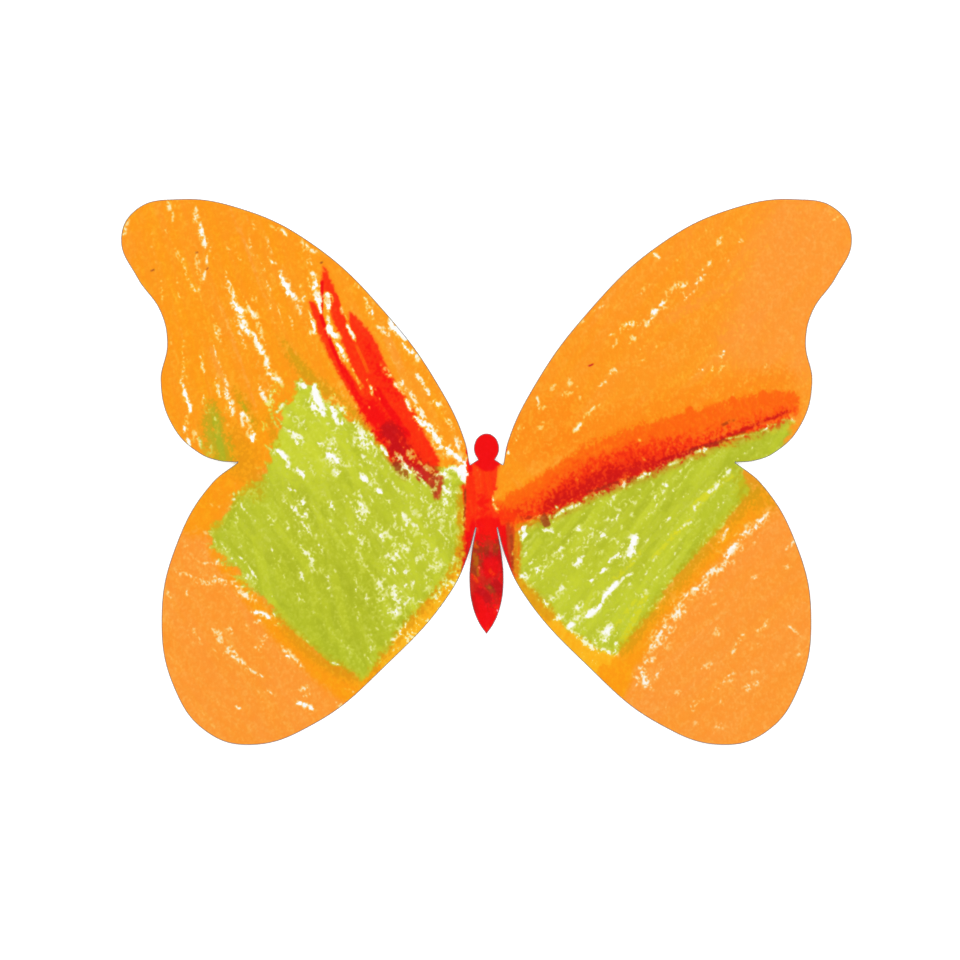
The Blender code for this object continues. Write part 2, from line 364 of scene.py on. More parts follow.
RIGHT_GREEN = [
    (6.4, -12.2), (9.6, -10.6), (15.6, -7), (22.3, -4.1), (34.4, 0.6), (48.4, 6.5), (56.8, 8.8), (61, 10.4),
    (60, 5.4), (54, 1.5), (52.2, -4.2), (45.8, -12), (41.8, -16.4), (35.2, -24), (30.4, -30.8), (26.2, -36),
    (22.4, -34.6), (17, -31.6), (9.4, -23.8), (6, -20.4),
]
RIGHT_HINDWING = [
    (26, -38.2), (31, -31.4), (36, -24.6), (42.6, -17.2), (46.6, -12.4), (53, -4.6), (54, 0), (75, 0),
    (75, -60), (20, -60), (22, -42),
]
RED_BAND = [
    (1.6, -6.4), (8.3, -2.4), (13.9, 1.2), (19.5, 4.8), (25.1, 7.4), (34.3, 10.3), (45.6, 13.2), (54, 15.4),
    (61.8, 15.8), (61.4, 11.8), (52.6, 7.8), (45.6, 5.6), (34.4, 0.9), (22.3, -3.8), (13.9, -7.9), (7, -10),
    (2, -13),
]
RED_BAND_MIDDLE = [
    (2, -9.6), (9.4, -6), (14.6, -1.8), (19.8, 1.6), (27, 4.2), (31, 5.4), (42, 7.2), (52, 9.8),
    (61.2, 12.6), (61, 11.4), (52.6, 7.8), (45.6, 5.6), (34.4, 0.9), (22.3, -3.8), (13.9, -7.9), (7, -10.2),
]
RED_BAND_FOOT = [
    (10.8, -8.2), (13.6, -4.6), (19, -1.4), (26, 1.2), (31, 2.4), (37, 3.6), (42, 5.2), (42, 4.4),
    (34.4, 0.9), (27, -2.2), (19.5, -5.2), (14, -8),
]
FEATHER = [
    [(-35.4, 34.2), (-33.7, 32.4), (-32.1, 28), (-30.1, 24), (-27, 19.4), (-22.6, 14), (-20.8, 12.6),
     (-22.4, 8.8), (-25.4, 13), (-28.6, 18), (-31.6, 23.6), (-34.2, 29.6)],
    [(-32.7, 41.4), (-31.3, 38.4), (-29.6, 34.2), (-28.4, 30.6), (-26.8, 27), (-24.4, 21), (-22, 17),
     (-24, 16.6), (-27, 21.2), (-28.5, 25), (-30.3, 29.6), (-31.4, 33), (-32.6, 37)],
    [(-27.4, 32), (-25, 29.8), (-22.4, 26.4), (-20.4, 21.8), (-18, 17.6), (-14.4, 11.6), (-11.8, 6.4),
     (-9.6, 2.2), (-12.6, 1.2), (-17, 7), (-20.6, 13), (-23.8, 18), (-25.8, 23.6), (-27, 28)],
    [(-25.6, 16), (-20, 18), (-14.8, 12.4), (-11.8, 6.4), (-9.6, 1.8), (-11.6, -1.4), (-15, 1.6),
     (-19, 1.8), (-21, 5.6), (-23.6, 11)],
]
LEFT_INNER_EDGE = [
    (-25.4, -43.4), (-22.2, -39), (-17.6, -32.2), (-11.4, -25), (-7.2, -19.2), (-5.6, -14), (-3.4, -13),
    (-1, -16), (-6, -30), (-16, -44),
]
RIGHT_INNER_EDGE = [
    (5.6, -20.4), (9, -24), (13.4, -28.6), (17, -32.2), (22, -35.4), (26.4, -37), (29, -38), (28.6, -42),
    (24, -48), (14, -44), (2, -24),
]
RIGHT_ROOT = [(1.2, -7), (7, -9.6), (6.7, -13), (6.2, -21), (3, -20), (0.6, -12)]
THORAX = [
    (-3.9, 2), (-1.6, 3.2), (1.2, 3.2), (2.4, 1.6), (1.7, -2), (1.1, -5.6), (1.9, -12), (-2.6, -13.5),
    (-4, -8), (-3.9, -3),
]
ABDOMEN = [
    (-2.4, -9.6), (2.4, -9.6), (3.6, -14), (4, -20), (3.4, -25), (0, -34), (-3.4, -25), (-4, -20),
    (-3.4, -14),
]
HEAD = [(-3.3, 6), (0, 9.8), (3.3, 6), (1.7, 1.5), (-1.7, 1.5)]

# The streaks that the crayon missed: x and y of both ends, width, strength.
MISSED_STREAKS = [
    # The left forewing, from its outer edge inwards.
    (-71.4, 50.8, -72.6, 47, 1, 0.7), (-63.6, 54.4, -62.4, 50, 0.9, 0.7),
    (-64.4, 49.2, -63.8, 47.8, 0.8, 0.8), (-58.4, 53, -57, 49, 1.3, 0.85),
    (-57, 49.4, -55.8, 44.6, 1.1, 0.9), (-55.8, 44, -56.6, 37.6, 0.7, 0.7),
    (-61.8, 39.4, -61.4, 34.6, 0.6, 0.5), (-65.6, 38.6, -64.6, 34.4, 0.9, 0.5),
    (-60.9, 27, -60.8, 18.6, 0.7, 0.6), (-60.8, 19, -59.7, 11.6, 1.3, 0.97),
    (-60.1, 9.6, -59, 5.2, 1.3, 0.95), (-60.2, 12, -60, 9, 1, 0.6), (-57.7, 23.6, -56.1, 19.4, 0.8, 0.75),
    (-56.6, 15.6, -55.2, 10.2, 1.1, 0.6), (-55.6, 6.6, -55, 3.2, 0.7, 0.8),
    (-54.4, 19.2, -53.2, 14.6, 1, 0.85), (-52.9, 19.6, -50.6, 13.2, 1.4, 0.65),
    (-54.8, 11.8, -54.2, 9.8, 0.6, 0.75), (-49.7, 12, -46.9, 5.6, 2.2, 1),
    (-52.2, 40.4, -50.2, 33.6, 1.1, 0.9), (-50.6, 34.6, -46.8, 27.4, 2, 0.95),
    (-47.4, 28, -43.6, 21.6, 1.5, 0.9), (-52.8, 40.2, -47.6, 28.6, 0.7, 0.75),
    (-49.6, 36.6, -44, 25.4, 0.6, 0.7), (-46.8, 27.6, -42, 18.6, 0.8, 0.75),
    (-44.4, 22.6, -40.8, 16.8, 1.6, 0.85), (-45.4, 17.6, -43.4, 12.6, 1.2, 0.85),
    (-42.6, 17.8, -40.2, 12.8, 3, 0.55), (-47.6, 33.6, -44.6, 26.8, 1.2, 0.85),
    (-47, 49.8, -46.2, 48.4, 0.8, 0.6), (-43.2, 49.6, -39.9, 47, 1, 0.9),
    (-37.4, 46, -33.8, 43.8, 1.1, 0.75), (-36.6, 42.6, -34.4, 41.8, 0.9, 0.6),
    (-43.4, 43.4, -41.9, 41.6, 1, 0.85), (-44, 45.2, -43, 44.4, 0.7, 0.6),
    (-41.8, 40.4, -39, 35.2, 1.7, 0.97), (-39.4, 36.4, -36.4, 31, 1.3, 0.95),
    (-35.9, 32.4, -34.3, 27.2, 1.2, 0.95), (-37.6, 37.8, -36, 34, 1.2, 0.7),
    (-35.6, 39.9, -34.2, 36.6, 1.9, 1), (-34.7, 37.8, -33.5, 33.6, 1.9, 1),
    (-33.5, 35.4, -33.2, 31.6, 0.8, 1),
    # The slits in the feather, and between it and the forewing's inner edge.
    (-32.3, 36.2, -31.4, 32.4, 1.8, 0.95), (-32.2, 32.6, -31.4, 29.4, 0.9, 0.9),
    (-31.5, 29.8, -29.9, 26, 1.8, 1), (-29.7, 26, -27.8, 21.8, 1.6, 1), (-27.2, 21.2, -25, 16.4, 0.5, 0.5),
    (-29.3, 33.4, -27.8, 29.8, 0.8, 0.7), (-27.8, 29.8, -26.2, 26, 0.9, 0.9),
    (-23.9, 18.8, -22.4, 15.2, 0.9, 0.9), (-22.9, 17.8, -21.2, 14.2, 0.6, 0.75),
    (-23.8, 13.2, -23.4, 12.6, 0.5, 0.9), (-18.4, 4.6, -16.6, 2.4, 1, 0.8),
    (-29.1, 21.9, -28.8, 21.6, 0.4, 0.9), (-28.4, 19.6, -28.1, 19.2, 0.4, 0.9),
    (-26, 38, -25.4, 36.8, 1, 0.85), (-24.8, 35, -24.4, 34.6, 0.6, 0.8),
    (-23.4, 32.6, -22.6, 31.4, 0.8, 0.95), (-21.6, 29.6, -19.6, 27, 1.2, 0.75),
    (-19.8, 30.6, -16.4, 26, 1.6, 0.97), (-16.8, 26.6, -13.2, 21.6, 1.2, 0.9),
    (-21.3, 22.2, -18.6, 19, 1.2, 0.9), (-18.6, 18, -16.6, 15.6, 1.3, 0.85),
    (-16.4, 14.8, -14.6, 12.2, 1.1, 0.9), (-12.8, 17.2, -11.2, 15, 1, 0.8),
    (-10.8, 14.4, -8.8, 13, 1.1, 0.8), (-14.2, 11.8, -11.6, 8.6, 2, 0.97), (-12, 9.4, -8.6, 5.2, 2.4, 0.92),
    (-9.2, 6, -5.4, 2.2, 2, 0.95), (-8, 3.4, -3.6, 1.4, 1.7, 1), (-5.6, 1.4, -3.8, -0.8, 2, 1),
    (-12.6, -1, -10.6, -1.6, 0.4, 0.4),
    # The left green.
    (-37.6, 18.6, -35.8, 17, 1.9, 1), (-35.5, 16.9, -31.4, 12.6, 2.4, 1),
    (-31.6, 13, -28.4, 9.6, 1.7, 0.97), (-35.2, 14, -31.8, 11, 1.5, 0.97),
    (-39.6, 12.2, -36.8, 9.2, 1.6, 0.7), (-32.2, 9.8, -29, 6.6, 1.1, 0.8), (-42.6, 12, -40.3, 15, 1.2, 0.9),
    (-41.4, 9.6, -38, 7, 0.8, 0.75), (-33.9, 6.3, -29.8, 4.2, 1.2, 0.9), (-32.3, 3.6, -28.6, 0.2, 2.8, 1),
    (-42.4, 4.6, -38.8, 0.4, 1.4, 0.97), (-39, 0.6, -36.2, -1.4, 1.5, 0.95),
    (-44.8, 1.9, -43.8, 1, 1.2, 0.6), (-40.4, -2.7, -38.3, -4.3, 1, 0.95),
    (-38.6, -5.6, -36.6, -7, 1.5, 0.9), (-37.6, -7.8, -35.6, -9.6, 1.5, 0.85),
    (-38.9, -6.4, -35.2, -12.8, 1.3, 0.85), (-37.4, -14.9, -33.8, -20.4, 1, 0.7),
    (-49.5, -16.8, -45.9, -21.6, 0.6, 0.85), (-43.2, -24.6, -42.4, -25.4, 0.8, 0.9),
    (-43.3, -15.1, -40.3, -21.3, 0.6, 0.6), (-33.6, -14.2, -33, -16.4, 0.8, 0.7),
    (-50.8, -4.1, -49.6, -5.8, 1.2, 0.8), (-50.4, -2.3, -48.3, -8, 0.5, 0.5),
    (-25.8, -0.3, -24.3, -2.5, 1.2, 0.95), (-24.9, 8.3, -22, 5.4, 1.1, 0.8),
    (-21.1, 5.8, -19.3, 3.2, 1.1, 0.97), (-29.3, 2.6, -28.2, 0.4, 1.2, 0.85),
    (-22.8, -3.2, -20.7, -4.6, 1, 0.95), (-17.9, -2.9, -15.7, -4.8, 1.2, 0.92),
    (-25.9, -5.4, -24.5, -7.6, 1, 0.85), (-8.9, -2.7, -6.9, -4.3, 1.2, 0.85),
    (-10.7, -5.4, -9.6, -8.4, 1.1, 0.85), (-16.7, -7.8, -12.2, -12.4, 1.3, 0.8),
    (-14, -8.4, -12.4, -11, 1.4, 0.75), (-7.2, -7.6, -6.6, -14, 0.9, 0.6),
    (-11, -20.1, -8.8, -19.6, 0.8, 0.8), (-18.6, -16, -17.8, -16.8, 0.9, 0.85),
    (-26.6, -19.6, -25.8, -30, 0.7, 0.6), (-18.8, -22, -17.6, -33, 1.5, 0.65),
    (-21.2, -21, -20.8, -28, 0.8, 0.6), (-24.4, -36, -22.6, -38.6, 0.7, 0.75),
    (-25.4, -6.4, -24.4, -7.4, 0.9, 0.85), (-9.6, -21.4, -6.4, -20, 0.9, 0.6),
    # The left hindwing.
    (-58.4, -18.2, -53.4, -18.7, 0.8, 0.7), (-58.2, -13.9, -55.4, -14.6, 0.7, 0.6),
    (-57.8, -20.2, -57, -20.8, 0.9, 0.8), (-55, -20.8, -50, -22.2, 1.6, 0.75),
    (-50, -22, -46, -26.4, 1.8, 0.8), (-46.9, -27.6, -43.2, -29.8, 1.3, 0.97),
    (-60.5, -23.4, -59.4, -25.4, 0.7, 0.7), (-60.7, -29.6, -57.2, -33.6, 0.9, 0.65),
    (-41, -34.4, -36.6, -39, 1.2, 0.7), (-40.2, -36, -39, -37, 1, 0.9),
    (-38.4, -46.2, -34.4, -47.8, 1.2, 0.95), (-50.2, -46.4, -48.8, -47.6, 0.8, 0.85),
    (-47.8, -38.9, -44.6, -41.3, 0.6, 0.75), (-52.8, -36.6, -50.8, -34.8, 0.8, 0.6),
    (-31.2, -38.2, -29.4, -38.8, 0.6, 0.8), (-36.4, -33.6, -35.6, -34.4, 0.6, 0.6),
    (-27, -43.6, -26, -44, 0.8, 0.8), (-45.8, -33.8, -43.8, -32.6, 1, 0.55),
    (-63.8, -23.6, -63, -25.4, 0.7, 0.6),
    # The right forewing, and a few on the red band and the body.
    (26.8, 27.6, 30.2, 29.9, 1.5, 0.9), (30, 29.4, 33.2, 31.6, 1.6, 0.97), (33, 31.2, 34.4, 32.8, 1.5, 1),
    (34.6, 33, 36.2, 34.8, 1.1, 0.95), (36, 35, 40.2, 38, 1.6, 0.75), (41.4, 37.4, 43.8, 39.8, 1, 0.8),
    (44.6, 41.2, 45.4, 42.6, 0.9, 0.9), (32.8, 43.6, 34.6, 42.6, 1, 0.8),
    (21.4, 32.6, 24.2, 33.8, 1.3, 0.6), (18.2, 29.4, 20.2, 30.4, 1, 0.6),
    (50.4, 45.6, 51.6, 46.2, 0.9, 0.7), (46, 22.4, 47.6, 24.6, 1, 0.8), (44.8, 19.2, 45.2, 21.6, 0.8, 0.7),
    (17.4, 7.8, 19.4, 10, 1.1, 0.95), (19.6, 10.6, 22.8, 13.8, 0.8, 0.75), (26.2, 45, 27.4, 46.2, 0.8, 0.6),
    (9.8, 15.4, 10.6, 12.4, 0.9, 0.8), (6.6, 9.6, 7.4, 8.2, 0.9, 0.8), (4.2, 3.2, 4.8, 4.2, 0.9, 0.9),
    (5.6, 6, 6.6, 9, 0.7, 0.6), (22, 17, 24.4, 18.6, 0.8, 0.6), (69, 50, 72.4, 52, 0.6, 0.6),
    (1.2, -4.4, 1.5, -6.8, 0.7, 0.85), (1.7, -6.2, 2.3, -8.2, 0.8, 0.8), (17.8, -1, 18.2, -1.8, 0.6, 0.9),
    (20.8, 0.8, 21.2, 0.2, 0.5, 0.8), (30.2, 6.4, 30.8, 6, 0.5, 0.8), (13.6, -6.6, 14.6, -7.4, 0.6, 0.8),
    (31, 2.8, 31.8, 2.2, 0.7, 0.8), (36, 4.6, 36.4, 4.4, 0.5, 0.8), (5.1, -15.9, 5.2, -17, 0.5, 0.9),
    (-2.1, -9.8, -1.8, -12.6, 0.5, 0.7), (2.2, -10.8, 2, -12, 0.5, 0.6), (-3, -20.2, -2.8, -21, 0.4, 0.8),
    (-1.2, -29.4, -1, -29.6, 0.5, 1), (-1.4, -18.6, -1.2, -19.4, 0.5, 0.7),
    # The right green.
    (13.6, -9, 18.6, -5.8, 1, 0.85), (18.8, -5.4, 24, -3.2, 0.8, 0.75), (29.8, -1.4, 33.4, -0.2, 1, 0.9),
    (36, 1.6, 39.4, 2.9, 0.9, 0.9), (41.4, 3.4, 44.4, 4.6, 1.1, 0.9), (48, 6.6, 56, 8.6, 0.6, 0.75),
    (6.3, -12.2, 7.5, -10.2, 1.1, 0.9), (7, -14, 8.6, -12.4, 1.2, 0.85), (11, -11.6, 13.4, -12.4, 0.8, 0.8),
    (9.4, -19.8, 11.2, -18.8, 1.2, 0.8), (6.6, -21.5, 9, -20.9, 1.2, 0.9), (14, -17, 15.4, -16.4, 1, 0.8),
    (17.2, -19, 19.4, -18, 1.8, 0.85), (22.2, -19.8, 24.4, -19, 1.1, 0.92),
    (24.4, -18.4, 27.4, -16.6, 1.3, 0.97), (26.8, -17.4, 31, -13, 2, 0.98),
    (16.9, -31.9, 22.2, -26.4, 2.1, 0.98), (21.8, -26.8, 26.8, -22, 1.5, 0.97),
    (26.4, -22.4, 29.4, -19.8, 0.9, 0.8), (21.6, -34.4, 24.8, -29.6, 2.4, 0.92),
    (17.4, -27.6, 19, -25.6, 1.3, 0.85), (20.4, -22.2, 21.5, -21.4, 1, 0.95),
    (12.4, -25.6, 16.4, -23.4, 2, 0.75), (11.6, -25.6, 12.4, -27.2, 1, 0.75),
    (25.4, -36, 26.2, -33.6, 0.9, 0.85), (35.2, -9.8, 37, -9, 0.9, 0.85), (41, -8.2, 42.8, -6.2, 0.9, 0.75),
    (44.4, -4.4, 49.4, 0.4, 1.1, 0.72), (38.2, -11.8, 41.4, -9.4, 0.9, 0.75),
    (35, -2.2, 36.4, -2.8, 1, 0.85), (29.6, -3.6, 31.2, -5.4, 1.2, 0.75), (31, -6.2, 28, -5.8, 1, 0.6),
    (24, -6, 27, -7.6, 1.2, 0.65), (18, -10.4, 19.4, -11.2, 1.2, 0.8), (22, -11.6, 24.4, -13, 1, 0.7),
    (46, -1, 53.4, 5.4, 0.7, 0.5),
    # The right hindwing.
    (57.1, -8.6, 52.1, -12.3, 1.6, 0.85), (52.6, -12, 47.8, -17.4, 1.9, 0.85),
    (48.4, -16.6, 43.6, -21.8, 2.1, 0.8), (44.2, -21.2, 40.4, -25.2, 2, 0.82),
    (40.8, -24.4, 36.4, -29.4, 2, 0.82), (36.8, -28.6, 33.4, -33.8, 2, 0.8),
    (33.8, -33.2, 31.2, -38.6, 1.9, 0.8), (31.4, -38.6, 32.2, -43, 1.9, 0.85),
    (29.6, -40.4, 30.8, -42.4, 0.9, 0.8), (46, -14.6, 49, -11, 0.9, 0.7), (52, -32, 49, -36.4, 0.9, 0.6),
    (60, -16, 62.4, -13.4, 0.8, 0.6), (60.4, -30.2, 62.6, -33, 0.9, 0.65), (46, -43.4, 49, -40.4, 0.8, 0.6),
]


def ease_greens(canvas):
    """Where the green is thin: in its upper half and towards the body."""
    canvas.ease([(-44, 12), (-36, 20), (-24, 10), (-22, 2), (-34, -4), (-44, 0)], 0.7, -48, 0.46)
    canvas.ease([(-34, 6), (-22, 8), (-6, 0), (-5, -20), (-16, -33), (-24, -24), (-28, -8)], 0.62, -56, 0.62,
                0.7, 0.4)
    canvas.ease([(-40, -2), (-24, -4), (-18, -32), (-30, -28), (-40, -14)], 0.5, -66, 0.22, 0.7, 0.4)
    canvas.ease([(-56, -8), (-46, 2), (-34, -6), (-30, -28), (-44, -26)], 0.45, -60, 0.2, 1)
    canvas.ease([(-18, -10), (-13, -2), (-5, -2), (-5, -20), (-18, -34), (-24, -36)], 0.64, -80, 0.7, 0.6,
                0.35)
    canvas.ease([(6, -12), (20, -4), (44, 4), (42, -6), (28, -16), (12, -22)], 0.5, 42, 0.38, 0.6, 0.35)
    canvas.ease([(6, -14), (30, -14), (40, -14), (26, -36), (10, -26)], 0.51, 48, 0.38, 0.6, 0.35)
    canvas.ease([(34, 0), (56, 9), (60, 8), (52, -4), (44, -14), (34, -12)], 0.25, 46, 0.2, 1.6, 0.5)


def draw_greens(canvas):
    canvas.hatch(LEFT_GREEN, (GREEN, LEAF), -52, 1.15, 2.8, 0.88, spill=1.2)
    canvas.hatch(LEFT_GREEN, (LIME, LEAF), -76, 1.5, 2.2, 0.7, keep=0.85, spill=1.4, length=(5, 16),
                 hold=0.6)
    canvas.hatch(LEFT_GREEN, (LIME, GREEN), -50, 2.4, 1.6, 0.6, keep=0.6, length=(4, 12), hold=0.6)
    canvas.hatch(LEFT_LOBE, (LEAF, GREEN), -76, 1, 2.2, 0.86, spill=1.5)
    canvas.hatch(RIGHT_GREEN, (GREEN, LEAF), 46, 1.15, 2.8, 0.88, spill=1.2)
    canvas.hatch(RIGHT_GREEN, (LIME, LEAF), 60, 1.5, 2.2, 0.7, keep=0.85, length=(5, 16), hold=0.6)
    canvas.hatch(RIGHT_GREEN, (LIME, GREEN), 50, 2.4, 1.6, 0.6, keep=0.6, length=(4, 12), hold=0.6)
    canvas.shade([(-44, 10), (-38, 19), (-28, 10), (-30, 0), (-40, -2)], LIME, 0.8, -52, 2, 0.75)
    canvas.shade([(-26, 8), (-6, -2), (-5.6, -18), (-14, -26), (-18, -8)], LIME, 0.55, -60, 2.5, 0.6)
    canvas.shade([(-40, -14), (-24, -18), (-22, -40), (-36, -34)], LEAF, 0.5, -60, 2.5, 0.5)
    canvas.shade([(12, -16), (24, -20), (36, -12), (26, -34), (12, -26)], LIME, 0.5, 48, 2.5, 0.6)


def draw_left_oranges(canvas):
    canvas.ease([(-70, 54), (-40, 50), (-36, 40), (-56, 30), (-66, 42)], 0.5, -72, 0.18, 2, 0.5)
    canvas.ease([(-60, 26), (-38, 34), (-34, 20), (-44, 8), (-60, 4)], 0.6, -72, 0.22, 1.8, 0.5)
    canvas.ease([(-28, 40), (-12, 24), (-4, 8), (-8, 2), (-18, 16), (-24, 30)], 0.75, -60, 0.34, 1.2, 0.6)
    canvas.ease([(-60, -12), (-46, -16), (-40, -34), (-26, -44), (-30, -52), (-60, -36)], 0.6, -40, 0.2, 0.9,
                0.6)
    canvas.ease([(-60, -16), (-54, -12), (-40, -30), (-46, -32)], 0.68, 0, 0.4, 0.8, 0.35)
    canvas.hatch(LEFT_FOREWING, (ORANGE, PEACH), -66, 1.2, 2.9, 0.92, fan=14, spill=1.2)
    canvas.hatch(LEFT_FOREWING, (ORANGE, AMBER), -70, 1.5, 2.9, 0.86, fan=14, keep=0.92, spill=1.2, hold=0.5)
    canvas.hatch(LEFT_HINDWING, (PEACH, PEACH), -40, 1.2, 3, 0.94, spill=0.8)
    canvas.hatch(LEFT_HINDWING, (PEACH, SALMON), -58, 1.5, 2.9, 0.9, hold=0.6, spill=0.8)
    canvas.shade(LEFT_INNER_EDGE, AMBER, 0.95, -50, 0.4, 0.95, 0.6)
    canvas.shade([(-25, -42.6), (-17.8, -32), (-11.4, -25), (-7.2, -19), (-5.7, -14), (-4.8, -14),
                  (-6.4, -20.6), (-12.4, -28), (-18.6, -35.4)], OCHRE, 0.9, -50, 0.6, 0.8, 0.7)
    canvas.shade([(-5.9, -3.6), (-4.2, -3.6), (-4, -14), (-3.2, -17.6), (-5.6, -20), (-5.9, -14)], OCHRE,
                 0.95, -88, 0.3, 0.95, 0.5)
    canvas.shade([(-55.6, -14), (-45.6, -25.4), (-38.9, -32), (-33.4, -37.2), (-24.6, -42.6), (-28, -46),
                  (-40, -35.6), (-46, -28.4), (-53, -19.6)], AMBER, 0.9, -46, 0.7, 0.9, 0.5)
    canvas.shade([(-44, -26.2), (-38.9, -31), (-33.4, -36), (-26, -40.6), (-27, -42.2), (-34.4, -38),
                  (-40, -33)], OCHRE, 0.8, -46, 0.6, 0.7, 0.5)
    canvas.shade([(-58, 2), (-50, 6), (-45, 14), (-42.4, 12), (-44, 4), (-48, -3), (-52, -7.4),
                  (-55.8, -12.4), (-62, -10)], AMBER, 0.85, -66, 1, 0.85, 0.5)
    canvas.shade([(-52.6, 9.6), (-50, 9), (-45.6, 3.6), (-44.6, -5), (-46.6, -5.4), (-49, -1.6),
                  (-52.6, 0.4), (-51, 4)], OCHRE, 0.55, -60, 0.9, 0.6, 0.6)
    canvas.shade([(-41.8, 27.4), (-38.6, 24), (-34.6, 19.8), (-30, 16), (-25, 10.8), (-21, 5.8),
                  (-18.4, 2.2), (-19.6, 2.4), (-23.4, 6.8), (-28.4, 11.8), (-33.6, 16.4), (-37.6, 19.8)],
                 OLIVE, 0.75, -48, 0.6, 0.7, 0.7)
    canvas.shade([(-50.6, 17), (-48.4, 15), (-45.4, 8.6), (-46.4, 8), (-49, 12)], OLIVE, 0.6, -60, 0.6, 0.7,
                 0.7)
    canvas.shade([(-44.4, 11.6), (-42.6, 10.6), (-41.4, 5.6), (-42.6, 5)], OLIVE, 0.5, -70, 0.6, 0.6, 0.7)
    canvas.shade([(-55.4, 14), (-53.8, 13), (-51.8, 7), (-50.4, 1.6), (-55.2, 1.2), (-56, 5), (-56.6, 9)],
                 LEAF, 0.7, -76, 0.8, 0.75, 0.7)
    canvas.strokes(LEAF, [(-54.4, 11.6, -52.6, 2, 1.8, 0.7), (-49.4, 14.4, -46.8, 9.4, 1.2, 0.5),
                          (-52.4, -12, -49.6, -4.4, 1.6, 0.5)], hold=0.75)


def draw_right_oranges(canvas):
    canvas.ease([(4, 0), (14, 20), (40, 44), (54, 50), (44, 34), (16, 8)], 0.64, 46, 0.24, 0.8, 0.45)
    canvas.ease([(30, 26), (52, 30), (60, 22), (40, 14)], 0.5, 50, 0.14, 1, 0.5)
    canvas.ease([(28, -40), (42, -20), (54, -6), (62, -20), (60, -38), (44, -52)], 0.5, 46, 0.2, 1, 0.6)
    canvas.ease([(59, -7), (50, -12), (44, -18.5), (38, -25), (33, -32), (29.5, -40), (31, -44.5),
                 (34.5, -43), (36.5, -34), (42, -27), (47.5, -20.5), (54, -14)], 0.72, 46, 0.55, 0.8, 0.5)
    canvas.hatch(RIGHT_FOREWING, (PEACH, ORANGE), 40, 1.2, 3, 0.95, fan=10)
    canvas.hatch(RIGHT_FOREWING, (PEACH, ORANGE), 52, 1.5, 3, 0.92, fan=10, hold=0.5)
    canvas.hatch(RIGHT_HINDWING, (PEACH, SALMON), 46, 1.2, 3, 0.94, spill=0.8)
    canvas.hatch(RIGHT_HINDWING, (PEACH, SALMON), 36, 1.5, 3, 0.91, hold=0.5, spill=0.8)
    canvas.shade([(6, 2), (14, 20), (32, 38), (48, 46), (46, 30), (28, 12)], ORANGE, 0.6, 45, 3, 0.45)
    canvas.shade([(48, 22), (50, 36), (58, 56), (76, 56), (76, 36), (62, 18)], SALMON, 0.8, 42, 2.5, 0.8)
    canvas.shade([(10, 4), (22, 11.5), (40, 16), (58, 21), (60, 16), (40, 12), (20, 4)], TANGERINE, 0.7, 22,
                 1.2, 0.6)
    canvas.shade([(3, -2), (4.6, 8), (11, 15), (20, 15), (18, 7), (9, 1)], TANGERINE, 0.6, 48, 1.6, 0.5)
    canvas.strokes(SALMON, [(36, 30, 50, 38, 3, 0.5), (46, 26, 56, 32, 3, 0.5)], hold=0.8)
    canvas.strokes(ORANGE, [(1.6, 0.4, 6.4, -5.6, 4, 0.9), (3.4, 3, 9.6, -3.2, 4, 0.8)], hold=0.9)
    canvas.shade(RIGHT_INNER_EDGE, AMBER, 0.97, 50, 0.6, 0.95, 0.5)
    canvas.shade([(5.8, -20.2), (9.4, -23.4), (13.6, -28), (12.6, -30), (8, -26), (4, -22)], OCHRE, 0.9, 50,
                 0.5, 0.8, 0.5)
    canvas.shade([(26.6, -36.6), (32, -30), (38, -22.6), (43.6, -16), (48, -10.6), (54.4, -3.6), (57.4, -6),
                  (51, -12), (46, -17.6), (40.6, -23.6), (35, -30.4), (30.4, -38)], AMBER, 0.95, 46, 0.8,
                 0.9, 0.5)
    canvas.shade([(26, -35), (31.4, -28.8), (36.6, -22.2), (41.8, -15.8), (46.8, -10.4), (53.6, -3),
                  (54.8, -4.6), (48.4, -12), (43.4, -17.8), (38.2, -24.2), (32.8, -30.8), (27.8, -36.8)],
                 OLIVE, 0.65, 46, 0.7, 0.6, 0.6)
    canvas.shade([(50, 0), (53, 1.6), (60, -4), (57, -8), (51, -6)], OLIVE, 0.5, 46, 1.2, 0.5, 0.6)
    canvas.strokes(OCHRE, [(46, 6, 50, 5.6, 2, 0.6)], hold=0.65)
    canvas.strokes(LEMON, [(33, -17.6, 41, -9.4, 1.2, 0.5), (40.8, -7.6, 49.6, 0, 1.9, 0.7),
                           (36.6, -13, 41.6, -9, 1, 0.5), (25, -22, 31, -16, 1.4, 0.5),
                           (27, -34, 32.4, -23.4, 1.8, 0.6), (24.4, -33, 30, -25.4, 1.4, 0.5)], hold=0.6)


